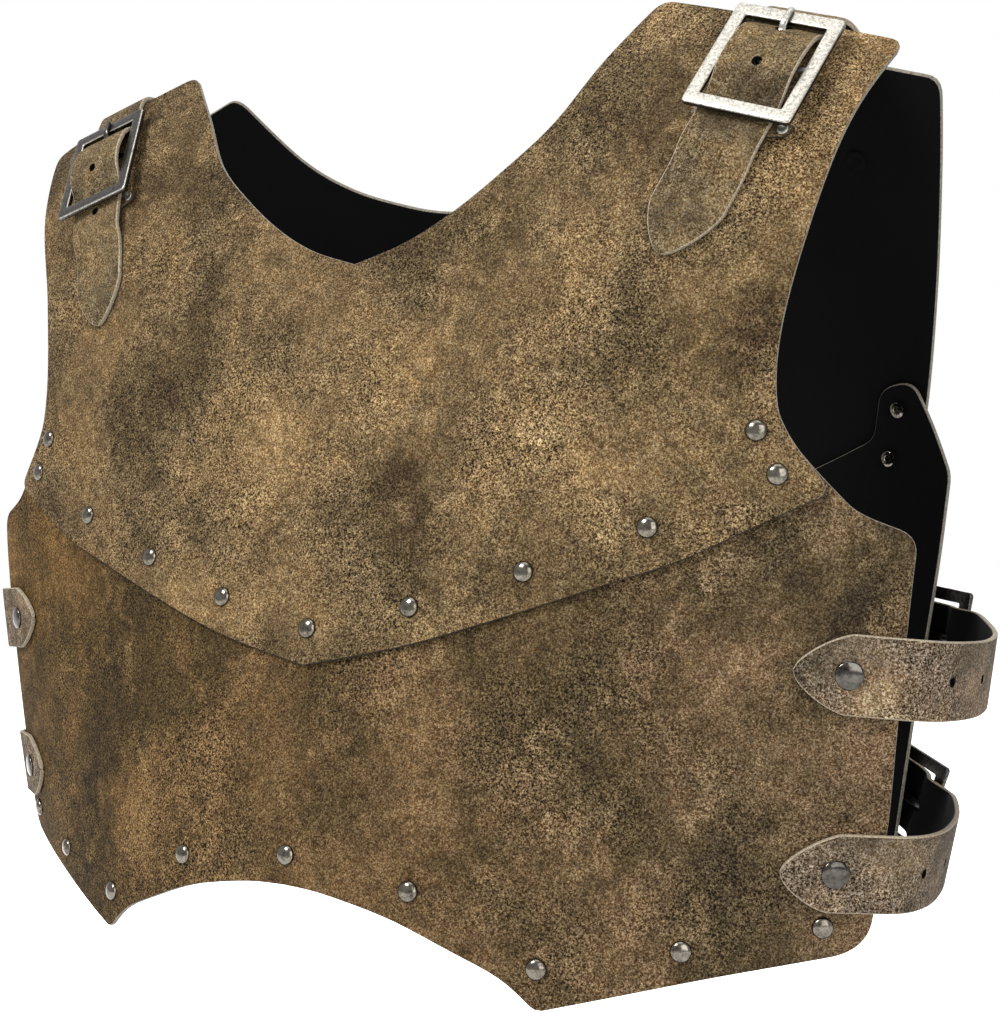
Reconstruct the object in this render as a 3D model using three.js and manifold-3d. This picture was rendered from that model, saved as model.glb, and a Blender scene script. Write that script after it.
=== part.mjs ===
// Leather chest armour: two-piece front, two-piece back, two shoulder straps and four side straps,
// each strap fastened through a centre-bar buckle.
// Millimetres, +Z up. The front faces -Y and +X is the wearer's left. The origin lies on the
// wearer's shoulder line, halfway between the two sides and between front and back.
import * as THREE from 'three';
import { mergeVertices } from 'three/addons/utils/BufferGeometryUtils.js';
import Module from 'manifold-3d';

const wasm = await Module();
wasm.setup();

// ---- driving sizes ----------------------------------------------------------------------------

const PANEL_THICK = 2.2;
const SEAM_GAP = 0.3;
const UPPER_LIFT = PANEL_THICK + SEAM_GAP;
const SHEET = { wide: 480, bottom: -384, top: 24, columns: 20, rows: 15 };
const FORM_HALF = 200;

const STRAP = { wide: 30, thick: 2, lift: 0.4, tip: 20, longestStep: 22, shortestStep: 2.5 };
const BUCKLE = { wide: 45, long: 52, barWide: 5.6, barThick: 2.4, pinRadius: 1.2, height: 4.1, tilt: 0.052 };
const CHAPE = { wide: 25, thick: 1, lift: 0.4, loopRadius: 1.65, reach: 34, slot: 4.2 };
const TONGUE = { wide: 3.4, thick: 1.8, ringRadius: 2.5 };
const PANEL_RIVET = { cap: 4.1, dome: 2.4, back: 3.6, post: 1.2, seat: 0.12, backSeat: 0.8 };
const STRAP_RIVET = { cap: 5.3, dome: 1.6, back: 4.2, post: 1.5, seat: 0.25, backSeat: 0.8 };
const BLADE_RIVET = { ...PANEL_RIVET, backSeat: 1.4 };
const HOLE_CLEARANCE = 0.3;

// The body form, one row for each height: the centre line's depth, and how far the surface has
// fallen back FORM_HALF to the side, by a square term and a fourth-power term.
const FORM = [
  { z: -372, front: -112.5, frontRound: 66, frontTail: 4, back: 144, backRound: 60 },
  { z: -322, front: -105.0, frontRound: 55, frontTail: 3, back: 149, backRound: 56 },
  { z: -262, front: -93.5, frontRound: 39, frontTail: 4, back: 153, backRound: 50 },
  { z: -202, front: -81.3, frontRound: 21, frontTail: 9, back: 154, backRound: 44 },
  { z: -142, front: -68.5, frontRound: 5, frontTail: 17, back: 142, backRound: 38 },
  { z: -92, front: -56.5, frontRound: -5, frontTail: 21, back: 109, backRound: 31 },
  { z: -47, front: -41.5, frontRound: -12, frontTail: 20, back: 73, backRound: 30 },
  { z: -12, front: -26.5, frontRound: -11, frontTail: 22, back: 45, backRound: 29 },
  { z: 18, front: -12.0, frontRound: -8, frontTail: 27, back: 21, backRound: 29 },
];

// Half outlines seen from the front, from the centre of the top edge round to the centre of the
// bottom edge. Each edge is a smooth line through its rows, and `corner` rounds its far end.
const OUTLINES = {
  frontUpper: [
    { corner: 6, rows: [
      { x: 0, z: -87.5 }, { x: 23.5, z: -80 }, { x: 45, z: -68.5 }, { x: 67, z: -52.5 },
      { x: 86.5, z: -34.7 }, { x: 103.3, z: -9.5 }, { x: 122.7, z: 15.5 }] },
    { corner: 6, rows: [{ x: 122.7, z: 15.5 }, { x: 220, z: -13.5 }] },
    { corner: 6, rows: [
      { x: 220, z: -13.5 }, { x: 207.5, z: -40.6 }, { x: 194.7, z: -81.6 }, { x: 186.4, z: -120 },
      { x: 185.3, z: -145.8 }, { x: 190, z: -160.8 }, { x: 205, z: -182 }] },
    { corner: 0, rows: [
      { x: 205, z: -182 }, { x: 179.2, z: -194.8 }, { x: 153.5, z: -207.4 },
      { x: 125.1, z: -217.4 }, { x: 86.6, z: -230.7 }, { x: 45.1, z: -243.6 }, { x: 0, z: -253.4 }] },
  ],
  frontLower: [
    { corner: 5, rows: [
      { x: 0, z: -227 }, { x: 46, z: -216.5 }, { x: 93, z: -201.5 }, { x: 140, z: -184 },
      { x: 166, z: -172 }] },
    { corner: 7, rows: [{ x: 166, z: -172 }, { x: 172, z: -147 }] },
    { corner: 3, rows: [{ x: 172, z: -147 }, { x: 182, z: -147 }] },
    { corner: 7, rows: [
      { x: 182, z: -147 }, { x: 191.2, z: -163.1 }, { x: 207.2, z: -182.1 }, { x: 215.9, z: -189.9 },
      { x: 233.5, z: -197.5 }] },
    { corner: 12, rows: [
      { x: 233.5, z: -197.5 }, { x: 226.7, z: -266.6 }, { x: 222.1, z: -309 }, { x: 215, z: -352 }] },
    { corner: 3, rows: [
      { x: 215, z: -352 }, { x: 164.4, z: -361.8 }, { x: 107, z: -376 }] },
    { corner: 0, rows: [
      { x: 107, z: -376 }, { x: 94.1, z: -365 }, { x: 75.5, z: -356.4 }, { x: 48.7, z: -346.4 },
      { x: 19.7, z: -340.6 }, { x: 0, z: -339.3 }] },
  ],
  backUpper: [
    { corner: 6, rows: [
      { x: 0, z: -46 }, { x: 34.4, z: -44.7 }, { x: 58.1, z: -39.7 }, { x: 82.5, z: -30.9 },
      { x: 103.2, z: -16.1 }, { x: 123.5, z: 12 }] },
    { corner: 6, rows: [{ x: 123.5, z: 12 }, { x: 227, z: -22 }] },
    { corner: 6, rows: [
      { x: 227, z: -22 }, { x: 221.7, z: -49.2 }, { x: 211.7, z: -90.1 }, { x: 200.3, z: -139.7 },
      { x: 196.5, z: -160 }, { x: 201, z: -178 }] },
    { corner: 0, rows: [
      { x: 201, z: -178 }, { x: 179, z: -187 }, { x: 153.5, z: -197 }, { x: 125.1, z: -206 },
      { x: 86.6, z: -219 }, { x: 45.1, z: -232 }, { x: 0, z: -242 }] },
  ],
  backLower: [
    { corner: 5, rows: [
      { x: 0, z: -215 }, { x: 46, z: -205 }, { x: 93, z: -191 }, { x: 139.7, z: -173.5 },
      { x: 172.6, z: -159.5 }] },
    { corner: 7, rows: [{ x: 172.6, z: -159.5 }, { x: 178, z: -136 }] },
    { corner: 7, rows: [{ x: 178, z: -136 }, { x: 194.5, z: -133.5 }] },
    { corner: 4, rows: [
      { x: 194.5, z: -133.5 }, { x: 203, z: -154 }, { x: 211, z: -176 }] },
    { corner: 12, rows: [
      { x: 211, z: -176 }, { x: 202.7, z: -239.7 }, { x: 196.2, z: -289.3 }, { x: 189, z: -352 }] },
    { corner: 3, rows: [
      { x: 189, z: -352 }, { x: 150, z: -361 }, { x: 107, z: -374 }] },
    { corner: 0, rows: [
      { x: 107, z: -374 }, { x: 94.1, z: -364 }, { x: 75.5, z: -355.4 }, { x: 48.7, z: -345.4 },
      { x: 19.7, z: -339.6 }, { x: 0, z: -338.3 }] },
  ],
};

// Rivets of the wearer's left half, and on the centre line, by panel.
const RIVETS = {
  chest: [
    { x: 0, z: -238.6 }, { x: 47, z: -228 }, { x: 94.4, z: -212.8 }, { x: 141.3, z: -195.2 },
    { x: 186.6, z: -175.4 }, { x: 178.8, z: -159.4 }],
  hem: [
    { x: 0, z: -327.6 }, { x: 56.6, z: -335.2 }, { x: 106.8, z: -360 }, { x: 156, z: -351.4 },
    { x: 201.3, z: -342.5 }],
  blade: [{ x: 186.8, z: -145.8 }, { x: 181, z: -168.5 }],
};

// Side straps: each runs from its riveted tip on the front, round the wearer's side, to a buckle
// on the back. `lean` tips the strap's upper edge outwards. `free` gives the stretch in the air.
const SIDE_STRAPS = [
  {
    name: 'side_upper', lean: 0.13,
    front: { from: 192.7, rivet: 211, to: 232, z: -246.2, drop: 3.5 },
    free: [
      { x: 238.5, y: -25.5, z: -251 }, { x: 243, y: -8, z: -252.5 }, { x: 244, y: 16, z: -254 },
      { x: 241, y: 42, z: -254 }, { x: 232.5, y: 68, z: -252.5 }],
    buckle: { x: 192.5, z: -247.5, along: { x: 0.993, z: -0.12 } },
  },
  {
    name: 'side_lower', lean: 0.2,
    front: { from: 187.8, rivet: 205.1, to: 223.5, z: -320.6, drop: 2 },
    free: [
      { x: 228.5, y: -24, z: -323.5 }, { x: 231, y: -8, z: -325 }, { x: 230, y: 14, z: -326.5 },
      { x: 226.5, y: 38, z: -327 }, { x: 219.5, y: 62, z: -326 }],
    buckle: { x: 183, z: -319.5, along: { x: 0.945, z: -0.327 } },
  },
];
const SIDE_TAIL = 74;

// Shoulder straps: each is riveted to the back, crosses the shoulder in the air and hangs down
// the front through its buckle, the right one a hole further down. Both are given on the wearer's
// left. `across` is the direction of the strap's width seen from the front, `lead` the distances
// above the centre bar where it still lies on the front, and `drift` the tail tip's sideways turn.
const SHOULDER_STRAPS = [
  {
    side: 'left', across: { x: 0.956, z: -0.294 },
    buckle: { x: 172.2, z: -23.4, along: { x: 0.294, z: 0.956 } },
    lead: [],
    air: [{ x: 180.3, y: -12.5, z: 1.8 }, { x: 181.3, y: -3, z: 3.6 }, { x: 182.2, y: 8, z: 2 }],
    back: { x: 183, z: -6 },
    tail: 87, drift: -9.5,
  },
  {
    side: 'right', across: { x: 0.967, z: -0.254 },
    buckle: { x: 160.1, z: -30, along: { x: 0.254, z: 0.967 } },
    lead: [30, 36],
    air: [{ x: 169.8, y: -13.5, z: 5.4 }, { x: 170.6, y: -6, z: 6.2 }, { x: 171.6, y: 6, z: 4.4 }],
    back: { x: 172.5, z: -2.5 },
    tail: 88, drift: 4,
  },
];
const SHOULDER_BACK = { drop: 56, rivet: 38, slant: 0.06 };

// Height of a strap over its panel, by distance from the buckle's centre bar towards the strap's
// fixed end.
const STRAP_OVER_BUCKLE = [
  { along: -51, height: 0.4 }, { along: -44, height: 1.2 }, { along: -38.5, height: 2.9 },
  { along: -33, height: 3.0 }, { along: -27, height: 3.0 }, { along: -20, height: 3.0 },
  { along: -13.5, height: 4.9 }, { along: -7, height: 8.0 }, { along: -3, height: 8.7 },
  { along: 2, height: 8.7 }, { along: 8, height: 7.6 }, { along: 12.8, height: 6.2 },
  { along: 16.5, height: 3.0 }, { along: 19.6, height: 0.5 }, { along: 25, height: 0.3 },
];

// ---- materials --------------------------------------------------------------------------------

const leather = () => new THREE.MeshStandardMaterial({ color: '#8a7252', roughness: 0.78, metalness: 0 });
const darkLeather = () => new THREE.MeshStandardMaterial({ color: '#2c2823', roughness: 0.7, metalness: 0 });
const silver = () => new THREE.MeshStandardMaterial({ color: '#b9b6ac', roughness: 0.34, metalness: 1 });
const gunmetal = () => new THREE.MeshStandardMaterial({ color: '#6f6a63', roughness: 0.3, metalness: 1 });

// ---- closed meshes, joins and cuts ------------------------------------------------------------

function bend(geometry, place) {
  const position = geometry.getAttribute('position');
  for (let i = 0; i < position.count; i += 1) {
    const moved = place(position.getX(i), position.getY(i), position.getZ(i));
    position.setXYZ(i, moved.x, moved.y, moved.z);
  }
  return geometry;
}

function signedVolume(geometry) {
  const position = geometry.getAttribute('position');
  const [a, b, c] = [new THREE.Vector3(), new THREE.Vector3(), new THREE.Vector3()];
  let total = 0;
  for (let i = 0; i < geometry.index.count; i += 3) {
    a.fromBufferAttribute(position, geometry.index.getX(i));
    b.fromBufferAttribute(position, geometry.index.getX(i + 1));
    c.fromBufferAttribute(position, geometry.index.getX(i + 2));
    total += a.dot(b.cross(c)) / 6;
  }
  return total;
}

function closed(geometry) {
  geometry.deleteAttribute('normal');
  geometry.deleteAttribute('uv');
  const merged = mergeVertices(geometry, 1e-4);
  if (signedVolume(merged) < 0) {
    const order = merged.index.array;
    for (let i = 0; i < order.length; i += 3) {
      [order[i], order[i + 1]] = [order[i + 1], order[i]];
    }
  }
  return merged;
}

function solid(geometry) {
  const merged = closed(geometry);
  return new wasm.Manifold(new wasm.Mesh({
    numProp: 3,
    vertProperties: Float32Array.from(merged.getAttribute('position').array),
    triVerts: Uint32Array.from(merged.index.array),
  }));
}

function geometryOf(manifold) {
  const mesh = manifold.getMesh();
  const geometry = new THREE.BufferGeometry();
  geometry.setAttribute('position', new THREE.BufferAttribute(mesh.vertProperties, 3));
  geometry.setIndex(new THREE.BufferAttribute(mesh.triVerts, 1));
  return geometry;
}

function mirrored(geometry) {
  return closed(bend(geometry.clone(), (x, y, z) => new THREE.Vector3(-x, y, z)));
}

// ---- the body form ----------------------------------------------------------------------------

function formValue(column, z) {
  const rows = FORM;
  const slope = (i) => (rows[i + 1][column] - rows[i][column]) / (rows[i + 1].z - rows[i].z);
  const last = rows.length - 1;
  const tangent = (i) => {
    if (i === 0) return slope(0);
    if (i === last) return slope(last - 1);
    const before = rows[i].z - rows[i - 1].z;
    const after = rows[i + 1].z - rows[i].z;
    return (slope(i - 1) * after + slope(i) * before) / (before + after);
  };
  if (z <= rows[0].z) return rows[0][column] + tangent(0) * (z - rows[0].z);
  if (z >= rows[last].z) return rows[last][column] + tangent(last) * (z - rows[last].z);
  const i = rows.findIndex((row, k) => k < last && z < rows[k + 1].z);
  const span = rows[i + 1].z - rows[i].z;
  const t = (z - rows[i].z) / span;
  return (2 * t ** 3 - 3 * t ** 2 + 1) * rows[i][column]
    + (t ** 3 - 2 * t ** 2 + t) * span * tangent(i)
    + (3 * t ** 2 - 2 * t ** 3) * rows[i + 1][column]
    + (t ** 3 - t ** 2) * span * tangent(i + 1);
}

function depthAt(face, x, z) {
  const across = (x / FORM_HALF) ** 2;
  if (face === 'back') return formValue('back', z) - formValue('backRound', z) * across;
  return formValue('front', z) + formValue('frontRound', z) * across
    + formValue('frontTail', z) * across ** 2;
}

function slopesAt(face, x, z) {
  const h = 0.5;
  return {
    x: (depthAt(face, x + h, z) - depthAt(face, x - h, z)) / (2 * h),
    z: (depthAt(face, x, z + h) - depthAt(face, x, z - h)) / (2 * h),
  };
}

function outwardAt(face, x, z) {
  const slope = slopesAt(face, x, z);
  const normal = new THREE.Vector3(slope.x, -1, slope.z).normalize();
  return face === 'back' ? normal.negate() : normal;
}

function pointAt(face, x, z, lift) {
  return new THREE.Vector3(x, depthAt(face, x, z), z).addScaledVector(outwardAt(face, x, z), lift);
}

function tangentAt(face, x, z, direction) {
  const slope = slopesAt(face, x, z);
  return new THREE.Vector3(direction.x, slope.x * direction.x + slope.z * direction.z, direction.z)
    .normalize();
}

// ---- panels -----------------------------------------------------------------------------------

// Splits the squares of a box's -Y side along the same diagonals as its +Y side, so that both
// skins of a bent sheet, and those of a sheet lying on it, stay parallel.
function matchDiagonals(box) {
  const order = box.index.array;
  const group = box.groups[3];
  for (let i = group.start; i < group.start + group.count; i += 6) {
    const [a, b, d, , c] = order.slice(i, i + 5);
    order.set([a, b, c, a, c, d], i);
  }
  return box;
}

function sheet(face, lift) {
  const high = SHEET.top - SHEET.bottom;
  const middle = (SHEET.top + SHEET.bottom) / 2;
  const box = matchDiagonals(
    new THREE.BoxGeometry(SHEET.wide, PANEL_THICK, high, SHEET.columns, 1, SHEET.rows));
  const inwards = face === 'back' ? -1 : 1;
  return solid(bend(box, (x, y, z) => (
    pointAt(face, x, z + middle, lift - PANEL_THICK / 2 - inwards * y))));
}

function halfOutline(edges) {
  const curves = edges.map(({ rows }) => (
    new THREE.SplineCurve(rows.map((row) => new THREE.Vector2(row.x, row.z)))));
  const points = [];
  curves.forEach((curve, i) => {
    const length = curve.getLength();
    const from = i > 0 ? edges[i - 1].corner / length : 0;
    const to = 1 - edges[i].corner / length;
    const steps = edges[i].rows.length > 2 ? Math.ceil(((to - from) * length) / 18) : 1;
    for (let k = 0; k <= steps; k += 1) {
      points.push(curve.getPointAt(THREE.MathUtils.clamp(from + ((to - from) * k) / steps, 0, 1)));
    }
    if (i < curves.length - 1) {
      const next = curves[i + 1];
      const after = next.getPointAt(edges[i].corner / next.getLength());
      const turn = new THREE.QuadraticBezierCurve(points.at(-1), curve.getPoint(1), after);
      points.push(turn.getPoint(0.5));
    }
  });
  return points;
}

function outlineBlock(edges) {
  const half = halfOutline(edges);
  const other = half.slice(1, -1).reverse().map((p) => new THREE.Vector2(-p.x, p.y));
  const deep = 640;
  const block = new THREE.ExtrudeGeometry(new THREE.Shape([...half, ...other]), {
    depth: deep, bevelEnabled: false,
  });
  block.rotateX(Math.PI / 2);
  block.translate(0, deep / 2, 0);
  return solid(block);
}

function standOn(geometry, point, up) {
  const turn = new THREE.Quaternion().setFromUnitVectors(new THREE.Vector3(0, 1, 0), up);
  return geometry.applyQuaternion(turn).translate(point.x, point.y, point.z);
}

// A square hole that a round post passes with HOLE_CLEARANCE to spare on its four sides.
function rivetBore(face, rivet, style) {
  const corner = (style.post + HOLE_CLEARANCE) * Math.SQRT2;
  const punch = new THREE.CylinderGeometry(corner, corner, 14, 4);
  return solid(standOn(punch, pointAt(face, rivet.x, rivet.z, 0), outwardAt(face, rivet.x, rivet.z)));
}

function bothSides(rivets) {
  return rivets.flatMap((rivet) => (rivet.x === 0 ? [rivet] : [rivet, { x: -rivet.x, z: rivet.z }]));
}

function panel(face, lift, edges, bores) {
  let body = sheet(face, lift).intersect(outlineBlock(edges));
  bores.forEach((tool) => {
    body = body.subtract(tool);
  });
  return geometryOf(body);
}

// ---- rivets -----------------------------------------------------------------------------------

function rivet(face, place, style, top, bottom) {
  const seat = top + style.seat;
  const under = bottom - style.backSeat;
  const profile = [
    new THREE.Vector2(0, under - 0.8),
    new THREE.Vector2(style.back, under - 0.8),
    new THREE.Vector2(style.back, under),
    new THREE.Vector2(style.post, under),
    new THREE.Vector2(style.post, seat),
    new THREE.Vector2(style.cap, seat),
    new THREE.Vector2(style.cap * 0.82, seat + style.dome * 0.66),
    new THREE.Vector2(0, seat + style.dome),
  ];
  const turned = new THREE.LatheGeometry(profile, 8);
  return closed(standOn(turned, pointAt(face, place.x, place.z, 0), outwardAt(face, place.x, place.z)));
}

// ---- straps -----------------------------------------------------------------------------------

function onPanel(face, x, z, across, lift) {
  return (w) => pointAt(face, x + across.x * w, z + across.z * w, lift);
}

function inAir(point, across) {
  return (w) => new THREE.Vector3(point.x + across.x * w, point.y, point.z + across.z * w);
}

function strapCurves(stations) {
  const half = STRAP.wide / 2;
  return [-half, 0, half].map((w) => (
    new THREE.CatmullRomCurve3(stations.map((station) => station(w)), false, 'centripetal')));
}

function tipWidth(distance) {
  if (distance >= STRAP.tip) return 1;
  const t = Math.max(distance, 0) / STRAP.tip;
  return 0.1 + 0.9 * Math.sin((t * Math.PI) / 2) ** 0.85;
}

function strapMeasure(stations) {
  const curves = strapCurves(stations);
  const spans = stations.length - 1;
  const divisions = 40 * spans;
  curves.forEach((curve) => {
    curve.arcLengthDivisions = divisions;
  });
  const lengths = curves[1].getLengths(divisions);
  const length = lengths[divisions];
  const stops = stations.map((station, i) => lengths[40 * i]);
  const skin = (distance, k) => {
    const t = curves[1].getUtoTmapping(THREE.MathUtils.clamp(distance / length, 0, 1));
    const [left, middle, right] = curves.map((curve) => curve.getPoint(t));
    return middle.clone()
      .addScaledVector(right.clone().sub(left), k / 2)
      .addScaledVector(left.clone().add(right).addScaledVector(middle, -2), (k * k) / 2);
  };
  const outward = (distance, k) => {
    const along = skin(distance + 0.5, k).sub(skin(distance - 0.5, k));
    const across = skin(distance, k + 0.1).sub(skin(distance, k - 0.1));
    return across.cross(along).normalize();
  };
  return { length, stops, skin, outward };
}

// Distances along a strap where its mesh has a row: close together in the pointed tips, then one
// at each station, with the long spans between stations divided.
function strapRows(length, stops) {
  const tip = [0, 3, 9, STRAP.tip];
  const rows = [...tip];
  stops.filter((stop) => stop < length - STRAP.tip).forEach((stop) => {
    const gap = stop - rows.at(-1);
    if (gap < STRAP.shortestStep) return;
    const parts = Math.ceil(gap / STRAP.longestStep);
    const start = rows.at(-1);
    for (let i = 1; i <= parts; i += 1) rows.push(start + (gap * i) / parts);
  });
  if (length - STRAP.tip - rows.at(-1) < STRAP.shortestStep) rows.pop();
  return [...rows, ...tip.map((distance) => length - distance).reverse()];
}

function strapSolid(stations, outside) {
  const { length, stops, skin, outward } = strapMeasure(stations);
  const rows = strapRows(length, stops);
  const last = rows.length - 1;
  const box = new THREE.BoxGeometry(2, 1, last, 2, 1, last);
  return solid(bend(box, (k, side, row) => {
    const distance = rows[Math.round(row + last / 2)];
    const narrow = Math.min(tipWidth(distance), tipWidth(length - distance));
    const lift = (side + 0.5) * STRAP.thick * outside;
    return skin(distance, k * narrow).addScaledVector(outward(distance, k * narrow), lift);
  }));
}

// ---- buckles ----------------------------------------------------------------------------------

// A buckle's own axes: u along its bars, v towards the strap's fixed end, h away from the panel.
function buckleSeat(face, place, across, skinLift) {
  const v = tangentAt(face, place.x, place.z, place.along);
  const u = tangentAt(face, place.x, place.z, across);
  const h = outwardAt(face, place.x, place.z);
  const flatU = u.clone().addScaledVector(v, -u.dot(v)).normalize();
  const base = pointAt(face, place.x, place.z, skinLift);
  const over = (du, dv, height) => pointAt(face, place.x + flatU.x * du + v.x * dv,
    place.z + flatU.z * du + v.z * dv, skinLift + height);
  const tilted = v.clone().applyAxisAngle(flatU, -BUCKLE.tilt * Math.sign(flatU.clone().cross(v).dot(h)));
  const raised = h.clone().applyAxisAngle(flatU, -BUCKLE.tilt * Math.sign(flatU.clone().cross(v).dot(h)));
  const centre = base.clone().addScaledVector(h, BUCKLE.height);
  const place3 = (du, dv, height) => centre.clone()
    .addScaledVector(flatU, du)
    .addScaledVector(tilted, dv)
    .addScaledVector(raised, height);
  return { over, rigid: place3 };
}

function buckleFrame(seat) {
  const outerX = BUCKLE.wide / 2;
  const outerY = BUCKLE.long / 2;
  const rectangle = (path, x, y) => path.moveTo(-x, -y).lineTo(x, -y).lineTo(x, y).lineTo(-x, y);
  const shape = rectangle(new THREE.Shape(), outerX, outerY);
  shape.holes.push(rectangle(new THREE.Path(), outerX - BUCKLE.barWide, outerY - BUCKLE.barWide));
  const bevel = 0.5;
  const ring = new THREE.ExtrudeGeometry(shape, {
    depth: BUCKLE.barThick - 2 * bevel, bevelSize: bevel, bevelThickness: bevel,
    bevelOffset: -bevel, bevelSegments: 1,
  });
  ring.translate(0, 0, bevel);
  const barLength = BUCKLE.wide - BUCKLE.barWide;
  const bar = new THREE.CylinderGeometry(BUCKLE.pinRadius, BUCKLE.pinRadius, barLength, 8);
  bar.rotateZ(Math.PI / 2);
  bar.translate(0, 0, BUCKLE.pinRadius);
  return closed(bend(geometryOf(solid(ring).add(solid(bar))), seat.rigid));
}

function tongue(seat) {
  const centre = BUCKLE.pinRadius;
  const reach = BUCKLE.long / 2;
  const over = BUCKLE.barThick + 0.3;
  const ring = new THREE.Shape().absarc(0, centre, TONGUE.ringRadius, 0, Math.PI * 2);
  ring.holes.push(new THREE.Path().absarc(0, centre, centre + 0.3, 0, Math.PI * 2));
  const arm = new THREE.Shape([
    new THREE.Vector2(2, 0.2),
    new THREE.Vector2(16.6, 0.2),
    new THREE.Vector2(19.6, over),
    new THREE.Vector2(reach + 0.6, over - 0.1),
    new THREE.Vector2(reach + 0.9, over + 0.8),
    new THREE.Vector2(reach, over + 1.4),
    new THREE.Vector2(18.6, over + TONGUE.thick),
    new THREE.Vector2(15.6, 0.2 + TONGUE.thick),
    new THREE.Vector2(2, 0.2 + TONGUE.thick),
  ]);
  const cut = { depth: TONGUE.wide, bevelEnabled: false, curveSegments: 4 };
  const joined = solid(new THREE.ExtrudeGeometry(ring, cut)).add(solid(new THREE.ExtrudeGeometry(arm, cut)));
  return closed(bend(geometryOf(joined), (v, h, u) => seat.rigid(u - TONGUE.wide / 2, v, h)));
}

function chape(seat) {
  const middle = BUCKLE.height + BUCKLE.pinRadius;
  const inner = CHAPE.loopRadius;
  const outer = inner + CHAPE.thick;
  const lower = CHAPE.lift;
  const upper = lower + CHAPE.thick + 0.2;
  const turn = (Math.PI * 2) / 3;
  const shape = new THREE.Shape();
  shape.moveTo(-CHAPE.reach, lower);
  shape.lineTo(-20, lower);
  shape.lineTo(-7.5, lower);
  shape.absarc(0, middle, outer, -turn, turn, false);
  shape.lineTo(-11, upper + CHAPE.thick);
  shape.lineTo(-CHAPE.reach, upper + CHAPE.thick);
  shape.lineTo(-CHAPE.reach, upper);
  shape.lineTo(-11.5, upper);
  shape.absarc(0, middle, inner, turn, -turn, true);
  shape.lineTo(-7.5, lower + CHAPE.thick);
  shape.lineTo(-CHAPE.reach, lower + CHAPE.thick);
  const folded = new THREE.ExtrudeGeometry(shape, {
    depth: CHAPE.wide, steps: 2, bevelEnabled: false, curveSegments: 3,
  });
  const slot = new THREE.BoxGeometry(13, 14, CHAPE.slot);
  slot.translate(1, middle, CHAPE.wide / 2);
  const slotted = geometryOf(solid(folded).subtract(solid(slot)));
  return closed(bend(slotted, (v, h, u) => seat.over(u - CHAPE.wide / 2, v, h)));
}

function tongueSlot(seat) {
  const box = new THREE.BoxGeometry(TONGUE.wide + 1, 9, 16);
  return solid(bend(box, (u, v, h) => seat.rigid(u, v + 17, h)));
}

// Sideways drift of a shoulder strap's tail at a distance below its buckle's centre bar.
function tailDrift(row, distance) {
  return row.drift * (Math.max(distance, 0) / row.tail) ** 2;
}

function overBuckle(seat, drift) {
  return STRAP_OVER_BUCKLE.map(({ along, height }) => (
    (w) => seat.over(w + drift(-along), along, height)));
}

// ---- the whole armour -------------------------------------------------------------------------

const armour = new THREE.Group();

function add(name, geometry, material) {
  geometry.computeVertexNormals();
  const mesh = new THREE.Mesh(geometry, material);
  mesh.name = name;
  armour.add(mesh);
}

function addSide(name, side, geometry, material) {
  add(`${name}_${side}`, side === 'right' ? mirrored(geometry) : geometry, material());
}

function addPair(name, geometry, material) {
  addSide(name, 'left', geometry, material);
  addSide(name, 'right', geometry, material);
}

function buildShoulder(row) {
  const { side, across, back } = row;
  const seat = buckleSeat('front', row.buckle, across, UPPER_LIFT);
  const drift = (distance) => tailDrift(row, distance);
  const tail = [];
  for (let distance = row.tail; distance > 55; distance -= 9) {
    tail.push((w) => seat.over(w + drift(distance), -distance, STRAP.lift));
  }
  const xAt = (drop) => back.x + drop * SHOULDER_BACK.slant;
  const down = [0, 5, 16, 29, 43, SHOULDER_BACK.drop].map((drop) => (
    onPanel('back', xAt(drop), back.z - drop, across, UPPER_LIFT + STRAP.lift)));
  const stations = [
    ...tail,
    ...overBuckle(seat, drift),
    ...row.lead.map((distance) => (w) => seat.over(w, distance, STRAP.lift)),
    ...row.air.map((point) => inAir(point, across)),
    ...down,
  ];
  let body = strapSolid(stations, 1);
  body = body.subtract(tongueSlot(seat));
  const place = { x: xAt(SHOULDER_BACK.rivet), z: back.z - SHOULDER_BACK.rivet };
  body = body.subtract(rivetBore('back', place, STRAP_RIVET));
  addSide('shoulder_strap', side, geometryOf(body), leather);
  addSide('shoulder_buckle', side, buckleFrame(seat), silver);
  addSide('shoulder_tongue', side, tongue(seat), silver);
  addSide('shoulder_chape', side, chape(seat), leather);
  const top = UPPER_LIFT + STRAP.lift + STRAP.thick;
  const stud = rivet('back', place, STRAP_RIVET, top, UPPER_LIFT - PANEL_THICK);
  addSide('shoulder_rivet', side, stud, gunmetal);
  return side === 'right' ? { x: -place.x, z: place.z } : place;
}

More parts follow.
